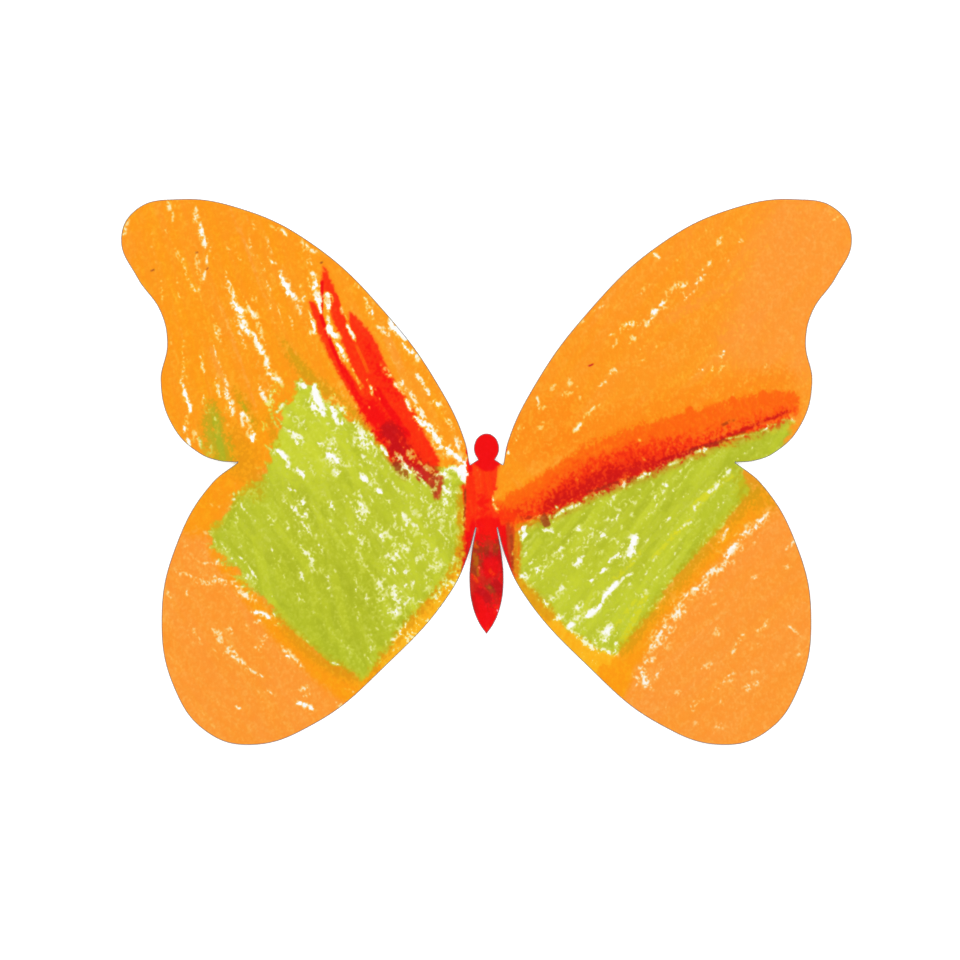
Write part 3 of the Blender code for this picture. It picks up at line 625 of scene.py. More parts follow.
def draw_feather(canvas):
    """The bundle of red strokes on the left forewing, open along two slits at its top."""
    for strand in FEATHER:
        canvas.shade(strand, FLAME, 1, -64, 0.3, 0.97, 0.5)
    canvas.strokes(FLAME, [(-30.6, 35.8, -27.4, 26, 1.6, 1), (-25.4, 28.6, -19.8, 15, 2, 1),
                           (-22, 17.6, -14.2, 8.6, 2.6, 1), (-20.4, 13.6, -12, 4.4, 2.6, 1)], hold=0.96,
                   grainy=0.5)
    canvas.shade([(-24.6, 27), (-22.4, 24), (-17.6, 15), (-18.6, 14.6), (-22.6, 20)], RED, 0.4, -64, 0.6,
                 0.6)
    canvas.shade([(-24.6, 14.6), (-22.2, 13.6), (-16, 5.6), (-18.6, 3.6), (-22, 7.4), (-24.4, 11.4)], RED,
                 0.8, -62, 0.8, 0.7, 0.6)
    canvas.strokes(RED, [(-32.9, 38.4, -33.1, 31.4, 0.9, 1), (-33.2, 31.6, -28.9, 20.6, 1, 0.8),
                         (-29, 21, -24.6, 12.6, 1.6, 0.5), (-22.6, 17, -15.4, 6.6, 2, 0.6)], hold=0.95,
                   grainy=0.5)
    canvas.strokes(SCARLET, [(-26.3, 25.8, -23.6, 19.6, 0.9, 0.9), (-27.6, 20.6, -24.4, 15, 0.7, 0.6)],
                   hold=0.8, grainy=0.4)
    canvas.shade([(-21.2, 8.6), (-18.4, 9.8), (-14.6, 4.2), (-10.8, -0.4), (-12.8, -1.8), (-15.2, 1.2),
                  (-18.6, 1.8)], CRIMSON, 0.85, -58, 0.6, 0.85, 0.7)
    canvas.shade([(-18.8, 2.2), (-16.6, 1.8), (-15.6, -0.4), (-16.2, -1.6), (-17.8, -0.4)], BROWN, 0.9, -60,
                 0.3, 0.85, 0.5)
    canvas.shade([(-13.2, 1), (-10.8, 1.2), (-8.7, -1.6), (-9.9, -5.6), (-11.4, -2.6)], RUST, 0.95, -60, 0.3,
                 0.95, 0.5)
    canvas.strokes(BROWN, [(-12.4, 1.6, -10, -1.8, 1.6, 0.7), (-11, -2.4, -10, -4.8, 0.8, 0.6)], hold=0.7)
    canvas.strokes(LEAF, [(-10.6, 0.9, -5.4, -0.3, 1.2, 0.85)], hold=0.75, grainy=0.4)


def draw_red_band(canvas):
    """The long band across the right wing: orange-red above, crimson along its foot."""
    canvas.shade(RED_BAND, SCARLET, 0.95, 24, 0.5, 0.95, 0.5)
    canvas.hatch(RED_BAND, (SCARLET, SCARLET), 26, 1.4, 2.4, 0.5, hold=0.7, spill=0, grainy=0.6)
    canvas.shade(RED_BAND_MIDDLE, FLAME, 0.8, 22, 1.2, 0.8, 0.45)
    canvas.shade(RED_BAND_MIDDLE, CRIMSON, 0.26, 60, 1, 0.45, 0.6)
    canvas.shade(RED_BAND_FOOT, CRIMSON, 0.7, 24, 0.9, 0.8, 0.5)
    canvas.strokes(CRIMSON, [(33, 1.2, 46.6, 6, 1.5, 0.6), (44, 5.6, 60.6, 12.2, 1.1, 0.5)], hold=0.85,
                   grainy=0.6)
    canvas.strokes(BROWN, [(11, -8.4, 12.4, -11, 2, 0.9), (3.2, -9.8, 9.8, -9, 1.2, 0.3),
                           (40, 4, 52, 8, 1.1, 0.5), (20, -4.2, 30, -1, 0.9, 0.4),
                           (47, 9.2, 50, 10.6, 0.9, 0.4)], hold=0.75)
    canvas.shade(RIGHT_ROOT, SCARLET, 0.97, -80, 0.4, 0.95, 0.5)
    canvas.shade([(1.2, -7), (6, -8.6), (4, -12), (3, -16), (1, -14)], FLAME, 0.8, -60, 0.7, 0.7, 0.5)
    canvas.shade([(3.2, -11.6), (5.2, -11), (5.4, -20.6), (3.8, -19.4)], RUST, 0.95, -84, 0.5, 0.85, 0.6)
    canvas.strokes(BROWN, [(4.9, -12, 5.2, -19.6, 0.9, 0.6)], hold=0.6)
    canvas.strokes(OCHRE, [(6.2, -11.6, 5.9, -20.6, 1.1, 0.85), (5.6, -11, 11, -9.4, 1.2, 0.8)], hold=0.8)


def draw_body(canvas):
    canvas.hatch(THORAX, (FLAME, FLAME), -86, 0.8, 2, 0.96, hold=0.95, spill=0.1, grainy=0.5)
    canvas.hatch(THORAX, (FLAME, SCARLET), -80, 1.4, 1.6, 0.6, hold=0.5, spill=0.2)
    canvas.strokes(ORANGE, [(2.6, 1.2, 2, -3.4, 1.2, 0.9), (3.4, 1.4, 3, -6, 2, 0.9)], hold=0.9)
    canvas.strokes(RED, [(-3.3, 2, -3.5, -3, 1.2, 0.8), (-2.8, -1, -2.6, -7, 1, 0.5)], hold=0.85)
    canvas.shade([(-1.8, -5), (0.2, -5), (1.2, -9), (1.8, -14), (-1.8, -14)], RED, 0.5, -86, 0.8, 0.6)
    canvas.shade([(-4.2, -2.4), (-2.6, -1), (-2, -12), (-2.4, -18), (-4.5, -15.4), (-4.4, -8)], FLAME, 1,
                 -88, 0.25, 0.97, 0.5)
    canvas.strokes(BROWN, [(-4.3, -3.2, -4.5, -10, 0.6, 0.8), (-4.5, -9, -4.7, -13.4, 0.4, 0.5)], hold=0.8)
    canvas.hatch(ABDOMEN, (RED, RED), -84, 0.8, 2, 0.97, hold=0.97, spill=0.2, grainy=0.5)
    canvas.shade([(-2.6, -8), (2.6, -8), (2.6, -14.2), (-2.4, -14.2)], FLAME, 0.6, -80, 1, 0.6)
    canvas.shade([(-4, -14.4), (4, -14.4), (4, -26), (-4, -26)], RUST, 0.66, 70, 0.8, 0.85, 0.9)
    canvas.strokes(CRIMSON, [(2.6, -15.6, 3.4, -20.8, 1.3, 0.95), (1, -21.6, 3.6, -24.2, 2.8, 0.95),
                             (-2, -23.4, 0.8, -26.2, 2.4, 0.9), (-0.6, -16, 1.8, -18.2, 2.2, 0.85),
                             (1.8, -17, 3.4, -17.6, 1.4, 0.6)], hold=0.85)
    canvas.strokes(BROWN, [(-2.4, -13.8, -2.6, -21, 2, 0.95), (-1.4, -14.2, -0.9, -19.8, 1.6, 0.8),
                           (0.2, -14.4, 0, -17.4, 1.3, 0.7), (1.6, -14.2, 1.8, -16.8, 1.3, 0.8),
                           (-0.2, -22.4, 1.6, -24.4, 1.6, 0.8), (-2.9, -24.4, -1.8, -28.6, 1.3, 0.85),
                           (1.8, -13, 2.6, -15.6, 1, 0.6)], hold=0.7)
    canvas.strokes(OLIVE, [(-2.5, -15.8, -2.2, -19.2, 1.4, 0.7), (-1.5, -18.6, -1.3, -21.2, 1.2, 0.7),
                           (0, -23, 1, -23.4, 0.8, 0.5), (1.6, -14.4, 2.2, -15.2, 0.8, 0.4)], hold=0.6)
    canvas.shade([(-0.6, -17.4), (2.2, -17.2), (2.5, -20.4), (-0.2, -21)], RED, 0.75, -80, 0.4, 0.7, 0.7)
    canvas.shade([(-2.8, -24.4), (-0.6, -25.2), (0.2, -29.4), (-1.4, -30.6), (-2.8, -27.6)], RED, 0.8, -80,
                 0.4, 0.7, 0.7)
    canvas.strokes(SCARLET, [(0.6, -19.4, 1.6, -20.6, 1, 0.6), (-2.9, -20.6, -1.6, -22, 1.2, 0.7),
                             (2.2, -26.8, 1.6, -28.6, 0.8, 0.6), (0.3, -29.6, 0.3, -32, 0.8, 0.6),
                             (-2.4, -13.8, -1.8, -15.2, 1, 0.7)], hold=0.8)
    canvas.hatch(HEAD, (RED, RED), -88, 0.9, 2, 1, hold=0.98, spill=0.1, grainy=0.4)
    canvas.hatch(HEAD, (RED, RED), 10, 0.9, 2, 1, hold=0.9, spill=0.1, grainy=0.4)


def drawn():
    """The whole drawing, in the order in which one colour lies over another."""
    canvas = Canvas()
    canvas.misses(MISSED_STREAKS)
    ease_greens(canvas)
    draw_greens(canvas)
    draw_left_oranges(canvas)
    draw_right_oranges(canvas)
    draw_feather(canvas)
    draw_red_band(canvas)
    draw_body(canvas)
    canvas.crumbs([(-66.8, 40.4, 0.5), (-58, 43.9, 0.2), (-55.9, 40.7, 0.3), (-33, 41.9, 0.2)], BROWN)
    canvas.crumbs([(20.9, 21.4, 0.7)], CRIMSON)
    return canvas


def load_of(canvas):
    """How far the wax stands above the bottom of the tooth: above 0 the card is covered."""
    return canvas.fill - (1.0 - canvas.tooth) * FULL


def coat_of(canvas):
    """The thickness of the wax, where 1 is a full coat. It is thinner in the pits of the tooth."""
    dips = 1.0 - DIP * (1.0 - canvas.tooth)**2
    return FIRM_COAT * dips * (1.0 - np.exp(-canvas.coat / COAT_UNIT))


# ---------------------------------------------------------------------------------------
# The shapes. Outlines are in millimetres until a mesh is made from them.

GRAIN = 0.19
UNDER_GRAIN = 0.9
OUTLINE_STEP = 0.2
EDGE_RING = 0.16
CORNER_TURN = math.radians(28)
CREASE_REACH = 0.09
NEAR_WAX = 0.35
BEND = 1.2
CARD_RELIEF = 0.012
WAX_BED = 0.008
WAX_RISE = 0.022
WAX_HEIGHT = 0.07
WAX_RELIEF = 0.02
THIN_COAT = 0.35
SHARP_EDGE = math.radians(60)


def outline_of(node):
    """The outline of a card node's front face, in order and counterclockwise."""
    mesh = bmesh.new()
    mesh.from_mesh(node.data)
    bmesh.ops.remove_doubles(mesh, verts=mesh.verts, dist=1e-6)
    mesh.normal_update()
    front = {face for face in mesh.faces if face.normal.z > 0.9}
    following = {}
    for face in front:
        for loop in face.loops:
            if not any(other in front for other in loop.edge.link_faces if other is not face):
                following[loop.vert.index] = loop.link_loop_next.vert.index
    first = next(iter(following))
    ring = [first]
    while following[ring[-1]] != first:
        ring.append(following[ring[-1]])
    mesh.verts.ensure_lookup_table()
    points = np.array([mesh.verts[i].co[:2] for i in ring]) / MM
    mesh.free()
    return points


def crease_line(joint):
    """A point on a crease and its direction, in the plane of the card."""
    along = np.array(joint["axis"][:2])
    return np.array(joint["pos_m"][:2]) / MM, along / np.hypot(*along)


def beside(points, crease):
    """How far points lie from a crease, as signed distances."""
    start, along = crease
    return (points - start) @ np.array((-along[1], along[0]))


def onto_creases(points, creases):
    """The outline with its sides beside a crease moved onto the crease itself."""
    out = points.copy()
    for crease in creases:
        away = beside(out, crease)
        near = np.abs(away) < CREASE_REACH
        out[near] -= away[near, None] * np.array((-crease[1][1], crease[1][0]))
    return out


def on_any(points, creases):
    """Which points lie on a crease."""
    return np.any([np.abs(beside(points, crease)) < 1e-3 for crease in creases], axis=0)


def turns(points):
    """How far the outline turns at each of its points."""
    ahead = np.roll(points, -1, axis=0) - points
    behind = points - np.roll(points, 1, axis=0)
    cross = behind[:, 0] * ahead[:, 1] - behind[:, 1] * ahead[:, 0]
    return np.arctan2(cross, (ahead * behind).sum(axis=1))


def unit(vector):
    return vector / np.hypot(*vector)


def smooth_run(run):
    """A smooth curve through an open run of points, without its last point."""
    padded = np.vstack((2 * run[0] - run[1], run, 2 * run[-1] - run[-2]))
    out = []
    for before, here, after, later in zip(padded, padded[1:], padded[2:], padded[3:]):
        length = np.hypot(*(after - here))
        count = max(1, round(length / OUTLINE_STEP))
        lead = length * unit(after - before)
        trail = length * unit(later - here)
        t = (np.arange(count) / count)[:, None]
        place = (2 * t**3 - 3 * t**2 + 1) * here + (3 * t**2 - 2 * t**3) * after
        out.append(place + (t**3 - 2 * t**2 + t) * lead + (t**3 - t**2) * trail)
    return np.vstack(out)


def smooth_outline(points, on_crease):
    """The faceted outline as smooth curves between its real corners. A crease stays straight."""
    ends = on_crease & ~(np.roll(on_crease, 1) & np.roll(on_crease, -1))
    corners = np.flatnonzero((np.abs(turns(points)) > CORNER_TURN) | ends)
    runs = []
    for a, b in zip(corners, np.roll(corners, -1)):
        count = (b - a) % len(points) or len(points)
        runs.append(smooth_run(points[(a + np.arange(count + 1)) % len(points)]))
    return np.vstack(runs)


def inset(outline, depth):
    """Points a little inside the outline, beside each of its points."""
    along = np.roll(outline, -1, axis=0) - np.roll(outline, 1, axis=0)
    along /= np.hypot(along[:, 0], along[:, 1])[:, None]
    return outline + depth * np.stack((-along[:, 1], along[:, 0]), axis=1)


def clear_of(points, outline, distance):
    """The points that are at least that far from the outline."""
    tree = KDTree(len(outline))
    for i, (x, y) in enumerate(outline):
        tree.insert((x, y, 0), i)
    tree.balance()
    return [p for p in points if tree.find((p[0], p[1], 0))[2] > distance]


def inner_points(outline, grain, rng):
    """A jittered grid inside an outline, clear of its edge."""
    low = outline.min(axis=0)
    high = outline.max(axis=0)
    points = []
    for row, y in enumerate(np.arange(low[1], high[1], grain * 0.87)):
        columns = np.arange(low[0] + grain * 0.5 * (row % 2), high[0], grain)
        for enter, leave in crossings(outline, np.array((0.0, y)), np.array((1.0, 0.0))):
            xs = columns[(columns > enter) & (columns < leave)]
            jitter = rng.uniform(-0.22, 0.22, (len(xs), 2)) * grain
            points.extend((x + dx, y + dy) for x, (dx, dy) in zip(xs, jitter))
    return clear_of(points, outline, EDGE_RING + 0.45 * grain)


def triangulated(points, edges):
    """Triangles over the points, inside closed rings of edges. Also gives, for each point
    that comes out, the number of the point that went in."""
    flat = [Vector((float(x), float(y))) for x, y in points]
    found = delaunay_2d_cdt(flat, edges, [], 1, 1e-7)
    origin = np.array([came_from[0] if came_from else -1 for came_from in found[3]])
    return np.array([tuple(p) for p in found[0]]), np.array([tuple(f) for f in found[2]]), origin


def ring_edges(count):
    return [(i, (i + 1) % count) for i in range(count)]


def boundary_edges(triangles):
    """The edges that only one triangle has, in that triangle's direction."""
    directed = np.vstack((triangles[:, [0, 1]], triangles[:, [1, 2]], triangles[:, [2, 0]]))
    size = int(triangles.max()) + 1
    key = directed[:, 0].astype(np.int64) * size + directed[:, 1]
    reverse = directed[:, 1].astype(np.int64) * size + directed[:, 0]
    return directed[~np.isin(key, reverse)]


def spread_out(points, grain):
    """The numbers of some of the points: one to each cell of a square grid."""
    cells = np.floor(points / grain).astype(int)
    return np.unique(cells, axis=0, return_index=True)[1]


def mesh_object(name, points, faces):
    """An object from points in millimetres, shaded smooth up to its sharp edges."""
    mesh = bpy.data.meshes.new(name)
    mesh.from_pydata((np.array(points) * MM).tolist(), [], faces)
    mesh.update()
    mesh.shade_smooth()
    mesh.set_sharp_from_angle(angle=SHARP_EDGE)
    piece = bpy.data.objects.new(name, mesh)
    bpy.context.scene.collection.objects.link(piece)
    return piece


def read_at(canvas, table, points):
    """A canvas layer's values at points on the card."""
    rows = (points[:, 1] - canvas.y[0]) / PITCH
    columns = (points[:, 0] - canvas.x[0]) / PITCH
    return looked_up(table, rows, columns)


def paint(piece, canvas, rim):
    """Gives a mesh the drawing's values at each of its points, for its material to read."""
    mesh = piece.data
    places = np.zeros(len(mesh.vertices) * 3)
    mesh.vertices.foreach_get("co", places)
    places = places.reshape(-1, 3)[:, :2] / MM
    layers = {"load": load_of(canvas), "coat": coat_of(canvas), "press": canvas.fill}
    for name, layer in layers.items():
        values = read_at(canvas, layer, places).astype(np.float32)
        mesh.attributes.new(name, "FLOAT", "POINT").data.foreach_set("value", values)
    mesh.attributes.new("rim", "FLOAT", "POINT").data.foreach_set("value", rim.astype(np.float32))
    tint = np.ones((len(places), 4), np.float32)
    for channel in range(3):
        tint[:, channel] = read_at(canvas, canvas.tint[..., channel], places)
    mesh.attributes.new("tint", "FLOAT_COLOR", "POINT").data.foreach_set("color", tint.ravel())


class Panel:
    """One panel of the card: its outline, and triangles over the whole of its face."""

    def __init__(self, node, creases, rng):
        rough = onto_creases(outline_of(node), creases)
        self.outline = smooth_outline(rough, on_any(rough, creases))
        self.creases = creases
        low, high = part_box(node.name)
        self.back = low.z / MM
        self.face = high.z / MM
        count = len(self.outline)
        ring = clear_of(inset(self.outline, EDGE_RING), self.outline, 0.8 * EDGE_RING)
        inner = inner_points(self.outline, GRAIN, rng)
        points = np.vstack((self.outline, ring, inner))
        self.points, self.triangles, origin = triangulated(points, ring_edges(count))
        on_outline = (origin >= 0) & (origin < count)
        # The rim marks the cut edge, where the painted edge shadow goes; the creases get none.
        self.rim = (on_outline & ~on_any(self.points, creases)).astype(float)

    def bends(self, points):
        """Which points lie beside a crease."""
        return np.any([np.abs(beside(points, crease)) < 1.5 * BEND for crease in self.creases], axis=0)

    def fields(self, waxes):
        """Which field of wax each triangle belongs to, and -1 where the card is bare."""
        corners = []
        faces = []
        owner = []
        for number, wax in enumerate(waxes):
            start = len(corners)
            corners += [v.co.copy() for v in wax.data.vertices]
            for polygon in wax.data.polygons:
                faces.append([start + i for i in polygon.vertices])
                owner.append(number)
        tree = BVHTree.FromPolygons(corners, faces)
        height = 0.5 * (corners[0].z + self.face * MM)
        found = np.full(len(self.triangles), -1)
        for i, (x, y) in enumerate(self.points[self.triangles].mean(axis=1) * MM):
            index = tree.find_nearest((x, y, height), NEAR_WAX * MM)[2]
            if index is not None:
                found[i] = owner[index]
        return found


def wax_top(canvas, points, bed):
    """The height of the wax's face, with the tooth of the card under it."""
    load = read_at(canvas, load_of(canvas), points)
    coat = read_at(canvas, coat_of(canvas), points)
    tooth = read_at(canvas, canvas.tooth, points)
    cover = smoothstep(-0.10, 0.16, load)
    rise = WAX_RISE + WAX_HEIGHT * cover * np.clip(coat - THIN_COAT, 0.0, 0.75) / 0.75
    return bed + rise + WAX_RELIEF * (tooth - 0.5) * (0.3 + 0.5 * cover)


def wax_piece(name, panel, triangles, canvas):
    """One field of wax: its face, a skirt down to the card, and a plain underside."""
    used, flat = np.unique(triangles, return_inverse=True)
    faces = flat.reshape(-1, 3)
    top = panel.points[used]
    rim = panel.rim[used]
    bed = panel.face + WAX_BED
    edges = boundary_edges(faces)
    border = np.unique(edges)
    inside = np.setdiff1d(np.arange(len(top)), border)
    coarse = inside[spread_out(top[inside], UNDER_GRAIN)]
    below = np.concatenate((border, np.union1d(coarse, inside[panel.bends(top[inside])])))
    place = np.full(len(top), -1)
    place[below] = np.arange(len(below))
    _, under, origin = triangulated(top[below], place[edges].tolist())
    under = origin[under]
    base = len(top)
    solid = [(x, y, z) for (x, y), z in zip(top, wax_top(canvas, top, bed))]
    solid += [(x, y, bed) for x, y in top[below]]
    skirt = [(b, a, base + place[a], base + place[b]) for a, b in edges.tolist()]
    down = (base + under[:, ::-1]).tolist()
    piece = mesh_object(name, solid, faces.tolist() + skirt + down)
    paint(piece, canvas, np.concatenate((rim, rim[below])))
    return piece


def card_piece(name, panel, bare, canvas):
    """One panel of the card, with the tooth of its face, its back and its cut edge. It is as fine as the wax where
    it is bare and beside the creases."""
    count = len(panel.outline)
    panel_rim = (~on_any(panel.outline, panel.creases)).astype(float)
    border = np.unique(boundary_edges(panel.triangles))
    inner = np.setdiff1d(np.arange(len(panel.points)), border)
    coarse = inner[spread_out(panel.points[inner], UNDER_GRAIN)]
    fine = np.union1d(np.unique(panel.triangles[bare]), inner[panel.bends(panel.points[inner])])
    chosen = np.union1d(coarse, np.intersect1d(inner, fine))
    flat = np.vstack((panel.outline, panel.points[chosen]))
    _, triangles, origin = triangulated(flat, ring_edges(count))
    triangles = origin[triangles]
    tooth = read_at(canvas, canvas.tooth, flat) - 0.5
    solid = [(x, y, panel.face + CARD_RELIEF * (t - 0.5)) for (x, y), t in zip(flat, tooth)]
    solid += [(x, y, panel.back + CARD_RELIEF * (0.5 - t)) for (x, y), t in zip(flat, tooth)]
    base = len(flat)
    edge = [(b, a, base + a, base + b) for a, b in ring_edges(count)]
    back = (base + triangles[:, ::-1]).tolist()
    piece = mesh_object(name, solid, triangles.tolist() + edge + back)
    rim = np.zeros(len(solid))
    rim[:count] = panel_rim
    paint(piece, canvas, rim)
    for polygon in piece.data.polygons[len(triangles):]:
        polygon.material_index = 1
    return piece


# ---------------------------------------------------------------------------------------
# The materials.

PAPER = (0.865, 0.860, 0.840, 1.0)
# Painted shade: a dark grey line along the card's cut edge stands in for the thin shadow of the edge.
PAINTED_EDGE_SHADE = (0.11, 0.11, 0.12, 1.0)
# Painted shade: the back and the cut edge are made a little darker than the card's face.
PAINTED_BACK_SHADE = (0.91, 0.91, 0.92, 1.0)
SHOW_THROUGH = 0.05
FILM = 0.24
FILM_START = 0.25
FINE_GRAIN = 9000.0
FINE_SHARE = 0.5
FINE_LEVEL = 0.24
COVER_RAMP = (-0.12, 0.08)
FIBRE_GRAIN = 2600.0
FIBRE_STRETCH = (1.0, 0.35, 1.0)
SMEAR_GRAIN = 700.0
EDGE_SHADE_END = 0.35
EDGE_SHADE_STRENGTH = 0.92
SPECULAR = 0.2
RELIEF = 0.00003


class Nodes:
    """A short way to build a material's nodes and join them."""

    def __init__(self, name):
        self.material = bpy.data.materials.new(name)
        self.material.use_nodes = True
        self.tree = self.material.node_tree
        self.shader = self.tree.nodes["Principled BSDF"]

    def put(self, socket, value):
        if isinstance(value, bpy.types.NodeSocket):
            self.tree.links.new(value, socket)
        else:
            socket.default_value = value

    def attribute(self, name, output="Fac"):
        node = self.tree.nodes.new("ShaderNodeAttribute")
        node.attribute_name = name
        return node.outputs[output]

    def noise(self, scale, detail=2.0, stretch=(1.0, 1.0, 1.0)):
        place = self.tree.nodes.new("ShaderNodeTexCoord")
        mapping = self.tree.nodes.new("ShaderNodeMapping")
        self.tree.links.new(place.outputs["Object"], mapping.inputs["Vector"])
        mapping.inputs["Scale"].default_value = stretch
        node = self.tree.nodes.new("ShaderNodeTexNoise")
        self.tree.links.new(mapping.outputs["Vector"], node.inputs["Vector"])
        node.inputs["Scale"].default_value = scale
        node.inputs["Detail"].default_value = detail
        return node.outputs["Fac"]

    def math(self, operation, a, b=0.0, c=0.0):
        node = self.tree.nodes.new("ShaderNodeMath")
        node.operation = operation
        for socket, value in zip(node.inputs, (a, b, c)):
            self.put(socket, value)
        return node.outputs[0]

    def ramp(self, value, low, high, to_low=0.0, to_high=1.0):
        """A smooth step from one value to another."""
        node = self.tree.nodes.new("ShaderNodeMapRange")
        node.interpolation_type = "SMOOTHSTEP"
        for name, setting in (("Value", value), ("From Min", low), ("From Max", high),
                              ("To Min", to_low), ("To Max", to_high)):
            self.put(node.inputs[name], setting)
        return node.outputs["Result"]

    def mix(self, share, a, b, blend="MIX"):
        node = self.tree.nodes.new("ShaderNodeMix")
        node.data_type = "RGBA"
        node.blend_type = blend
        self.put(node.inputs["Factor"], share)
        self.put([s for s in node.inputs if s.name == "A" and s.type == "RGBA"][0], a)
        self.put([s for s in node.inputs if s.name == "B" and s.type == "RGBA"][0], b)
        return [s for s in node.outputs if s.type == "RGBA"][0]

    def power(self, colour, exponent):
        node = self.tree.nodes.new("ShaderNodeGamma")
        self.put(node.inputs["Color"], colour)
        self.put(node.inputs["Gamma"], exponent)
        return node.outputs["Color"]

    def bump(self, height, distance):
        node = self.tree.nodes.new("ShaderNodeBump")
        node.inputs["Distance"].default_value = distance
        self.put(node.inputs["Height"], height)
        self.put(self.shader.inputs["Normal"], node.outputs["Normal"])


def paper_colour(nodes):
    """White card with faint fibres and a little unevenness."""
    fibres = nodes.noise(FIBRE_GRAIN, 4.0, FIBRE_STRETCH)
    clouds = nodes.noise(SMEAR_GRAIN * 0.2, 2.0)
    shade = nodes.math("MULTIPLY_ADD", fibres, 0.06, 0.955)
    shade = nodes.math("MULTIPLY_ADD", clouds, 0.03, shade)
    grey = nodes.tree.nodes.new("ShaderNodeCombineColor")
    for socket in grey.inputs[:3]:
        nodes.put(socket, shade)
    return nodes.mix(1.0, PAPER, grey.outputs[0], "MULTIPLY")


def wax_amount(nodes):
    """How much of the card the wax covers, with the finest grain of the tooth in its edge."""
    fine = nodes.noise(FINE_GRAIN, 2.0)
    load = nodes.math("SUBTRACT", nodes.attribute("load"), FINE_LEVEL)
    load = nodes.math("MULTIPLY_ADD", fine, FINE_SHARE, load)
    return nodes.ramp(load, *COVER_RAMP), fine


def waxed_card(name, gloss):
    """The face of the card under the drawing: wax where it is loaded, and bare tooth between."""
    nodes = Nodes(name)
    cover, fine = wax_amount(nodes)
    smear = nodes.noise(SMEAR_GRAIN, 3.0)
    amount = nodes.math("MULTIPLY", cover, nodes.attribute("coat"))
    amount = nodes.math("MULTIPLY", amount, nodes.math("MULTIPLY_ADD", smear, 0.12, 0.94))
    film = nodes.ramp(nodes.attribute("press"), FILM_START, 1.0, 0.0, FILM)
    amount = nodes.math("MAXIMUM", amount, film)
    wax = nodes.power(nodes.attribute("tint", "Color"), amount)
    colour = nodes.mix(1.0, paper_colour(nodes), wax, "MULTIPLY")
    # Painted shade: the outline points are darkened in a thin line that stands in for the cut edge's shadow.
    line = nodes.ramp(nodes.attribute("rim"), 0.0, EDGE_SHADE_END, 0.0, EDGE_SHADE_STRENGTH)
    nodes.put(nodes.shader.inputs["Base Color"], nodes.mix(line, colour, PAINTED_EDGE_SHADE))
    rough = nodes.math("MULTIPLY_ADD", cover, gloss - 0.92, 0.86)
    rough = nodes.math("MULTIPLY_ADD", fine, 0.14, rough)
    nodes.put(nodes.shader.inputs["Roughness"], rough)
    nodes.shader.inputs["Specular IOR Level"].default_value = SPECULAR
    relief = nodes.math("MULTIPLY_ADD", cover, 0.5, nodes.math("MULTIPLY", fine, 0.5))
    relief = nodes.math("MULTIPLY_ADD", smear, 0.4, relief)
    nodes.bump(relief, RELIEF)
    return nodes.material


def card_back():
    """The back and the cut edge: plain card, with a little of the drawing showing through."""
    nodes = Nodes("card_back")
    cover, fine = wax_amount(nodes)
    ghost = nodes.math("MULTIPLY", nodes.math("MULTIPLY", cover, nodes.attribute("coat")), SHOW_THROUGH)
    wax = nodes.power(nodes.attribute("tint", "Color"), ghost)
    colour = nodes.mix(1.0, paper_colour(nodes), wax, "MULTIPLY")
    # Painted shade: the back and cut edge darkened a little below the card's own white.
    nodes.put(nodes.shader.inputs["Base Color"], nodes.mix(1.0, colour, PAINTED_BACK_SHADE, "MULTIPLY"))
    fibres = nodes.noise(FIBRE_GRAIN, 4.0, FIBRE_STRETCH)
    nodes.put(nodes.shader.inputs["Roughness"], nodes.math("MULTIPLY_ADD", fibres, 0.12, 0.84))
    nodes.shader.inputs["Specular IOR Level"].default_value = SPECULAR
    nodes.bump(nodes.math("ADD", nodes.math("MULTIPLY", fine, 0.5), fibres), RELIEF)
    return nodes.material


# ---------------------------------------------------------------------------------------
# The studio.

FRAME_WIDTH = 0.1923
VIEW_CENTRE = (-0.0013, -0.0016)
LENS = 85.0
SENSOR = 36.0
FLOOR_GAP = 0.00006
FLOOR_SIZE = 4.0
FLOOR_GLOW = 0.30
FLOOR_TONES = ((0.88, 0.88, 0.88, 1), (0.90, 0.90, 0.90, 1))
FLOOR_GRAIN = 40.0
WORLD_LIGHT = 0.9
OVERHEAD_LIGHT = 0.02
OVERHEAD_START = 0.62
OVERHEAD_END = 0.86
WHITE = (1.0, 1.0, 1.0, 1.0)
SOFTBOX_SIZE = 0.9
SOFTBOXES = {
    "left_softbox": ((-0.9, 0.75, 0.95), 10.4),
    "right_softbox": ((0.9, 0.45, 0.95), 7.2),
    "front_softbox": ((0.1, -1.1, 0.95), 5.6),
}


def make_floor():
    """A plain pale floor just under the card."""
    mesh = bmesh.new()
    bmesh.ops.create_grid(mesh, x_segments=8, y_segments=8, size=FLOOR_SIZE / 2)
    data = bpy.data.meshes.new("floor")
    mesh.to_mesh(data)
    mesh.free()
    floor = bpy.data.objects.new("floor", data)
    floor.location.z = -FLOOR_GAP
    bpy.context.scene.collection.objects.link(floor)
    nodes = Nodes("floor")
    nodes.put(nodes.shader.inputs["Base Color"], nodes.mix(nodes.noise(FLOOR_GRAIN), *FLOOR_TONES))
    nodes.shader.inputs["Roughness"].default_value = 0.9
    nodes.shader.inputs["Specular IOR Level"].default_value = 0.1
    nodes.shader.inputs["Emission Color"].default_value = WHITE
    nodes.shader.inputs["Emission Strength"].default_value = FLOOR_GLOW
    data.materials.append(nodes.material)


def make_light(name, place, power):
    """A soft square light that looks at the butterfly."""
    data = bpy.data.lights.new(name, "AREA")
    data.size = SOFTBOX_SIZE
    data.energy = power
    light = bpy.data.objects.new(name, data)
    light.location = place
    light.rotation_euler = (-Vector(place)).to_track_quat("-Z", "Y").to_euler()
    bpy.context.scene.collection.objects.link(light)


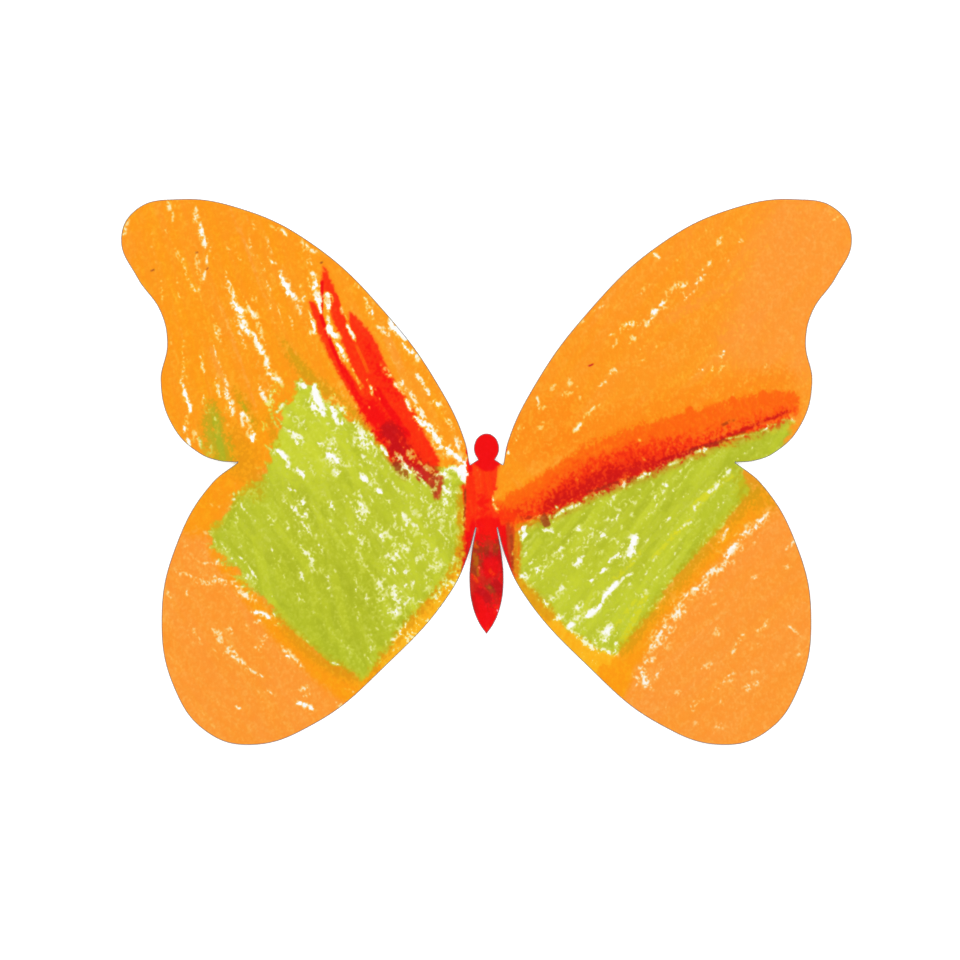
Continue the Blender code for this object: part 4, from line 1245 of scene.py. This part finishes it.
def make_sky():
    """White light from all sides, and almost none from above, where the camera is."""
    world = bpy.data.worlds.new("studio")
    world.use_nodes = True
    tree = world.node_tree
    direction = tree.nodes.new("ShaderNodeSeparateXYZ")
    tree.links.new(tree.nodes.new("ShaderNodeTexCoord").outputs["Generated"], direction.inputs["Vector"])
    overhead = tree.nodes.new("ShaderNodeMapRange")
    overhead.interpolation_type = "SMOOTHSTEP"
    tree.links.new(direction.outputs["Z"], overhead.inputs["Value"])
    overhead.inputs["From Min"].default_value = OVERHEAD_START
    overhead.inputs["From Max"].default_value = OVERHEAD_END
    overhead.inputs["To Min"].default_value = WORLD_LIGHT
    overhead.inputs["To Max"].default_value = OVERHEAD_LIGHT
    tree.nodes["Background"].inputs["Color"].default_value = WHITE
    tree.links.new(overhead.outputs["Result"], tree.nodes["Background"].inputs["Strength"])
    bpy.context.scene.world = world


def make_camera():
    """The camera looks straight down, as in the photo."""
    camera = bpy.data.objects.new("camera", bpy.data.cameras.new("camera"))
    camera.data.lens = LENS
    camera.data.sensor_width = SENSOR
    camera.location = (*VIEW_CENTRE, FRAME_WIDTH * LENS / SENSOR)
    bpy.context.scene.collection.objects.link(camera)
    bpy.context.scene.camera = camera
    bpy.context.scene.view_settings.view_transform = "Standard"


def make_studio():
    make_floor()
    make_sky()
    for name, (place, power) in SOFTBOXES.items():
        make_light(name, place, power)
    make_camera()


# ---------------------------------------------------------------------------------------
# The butterfly.

CARDS = {"body": "body_card", "left_wing": "left_wing_card", "right_wing": "right_wing_card"}
WAX_GLOSS = {"orange_wax": 0.42, "green_wax": 0.44, "red_wax": 0.38}


def join_to_body(piece, body, crease):
    """A body piece rides on the body, and so does a wing piece clear of its crease. A wing piece that reaches the
    crease stays fixed where it is, on no body.
    """
    if body == "body":
        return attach(piece, body)
    start, along = crease
    outward = np.array((-along[1], along[0]))
    if outward[0] * start[0] < 0:
        outward = -outward
    places = np.array([v.co[:2] for v in piece.data.vertices]) / MM
    if ((places - start) @ outward).min() > BEND:
        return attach(piece, body)
    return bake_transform(piece)


def build_panel(body, names, slots, creases, canvas, looks, rng):
    """The card and the fields of wax of one body."""
    card = frame["nodes"][CARDS[body]]
    waxes = [frame["nodes"][name] for name in names if name != card.name]
    own = creases.values() if body == "body" else [creases[body]]
    panel = Panel(card, list(own), rng)
    field = panel.fields(waxes)
    pieces = [(card_piece(card.name + "_sheet", panel, field < 0, canvas), card.name, "card")]
    for number, wax in enumerate(waxes):
        piece = wax_piece(wax.name + "_strokes", panel, panel.triangles[field == number], canvas)
        pieces.append((piece, wax.name, slots[wax.name]))
    for piece, node, slot in pieces:
        piece.data.materials.append(looks[slot])
        if slot == "card":
            piece.data.materials.append(looks["card_back"])
        join_to_body(piece, body, creases.get(body))
        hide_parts(node)


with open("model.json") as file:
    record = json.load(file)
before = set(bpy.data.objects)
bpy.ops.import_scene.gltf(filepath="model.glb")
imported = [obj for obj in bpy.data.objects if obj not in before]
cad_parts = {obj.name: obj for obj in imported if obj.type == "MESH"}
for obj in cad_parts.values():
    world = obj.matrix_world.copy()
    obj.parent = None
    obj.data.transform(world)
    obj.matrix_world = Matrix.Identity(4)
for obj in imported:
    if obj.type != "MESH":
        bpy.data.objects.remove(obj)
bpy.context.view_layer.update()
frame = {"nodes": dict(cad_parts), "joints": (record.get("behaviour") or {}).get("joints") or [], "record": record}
creases = {joint["child"]: crease_line(joint) for joint in frame["joints"]}
slots = {part["node"]: part["material_slot"] for part in frame["record"]["subparts"]}
canvas = drawn()
looks = {slot: waxed_card(slot, gloss) for slot, gloss in WAX_GLOSS.items()}
looks["card"] = waxed_card("card_front", 0.5)
looks["card_back"] = card_back()
rng = np.random.default_rng(SEED + 1)
for body, names in frame["record"]["behaviour"]["bodies"].items():
    build_panel(body, names, slots, creases, canvas, looks, rng)
make_studio()
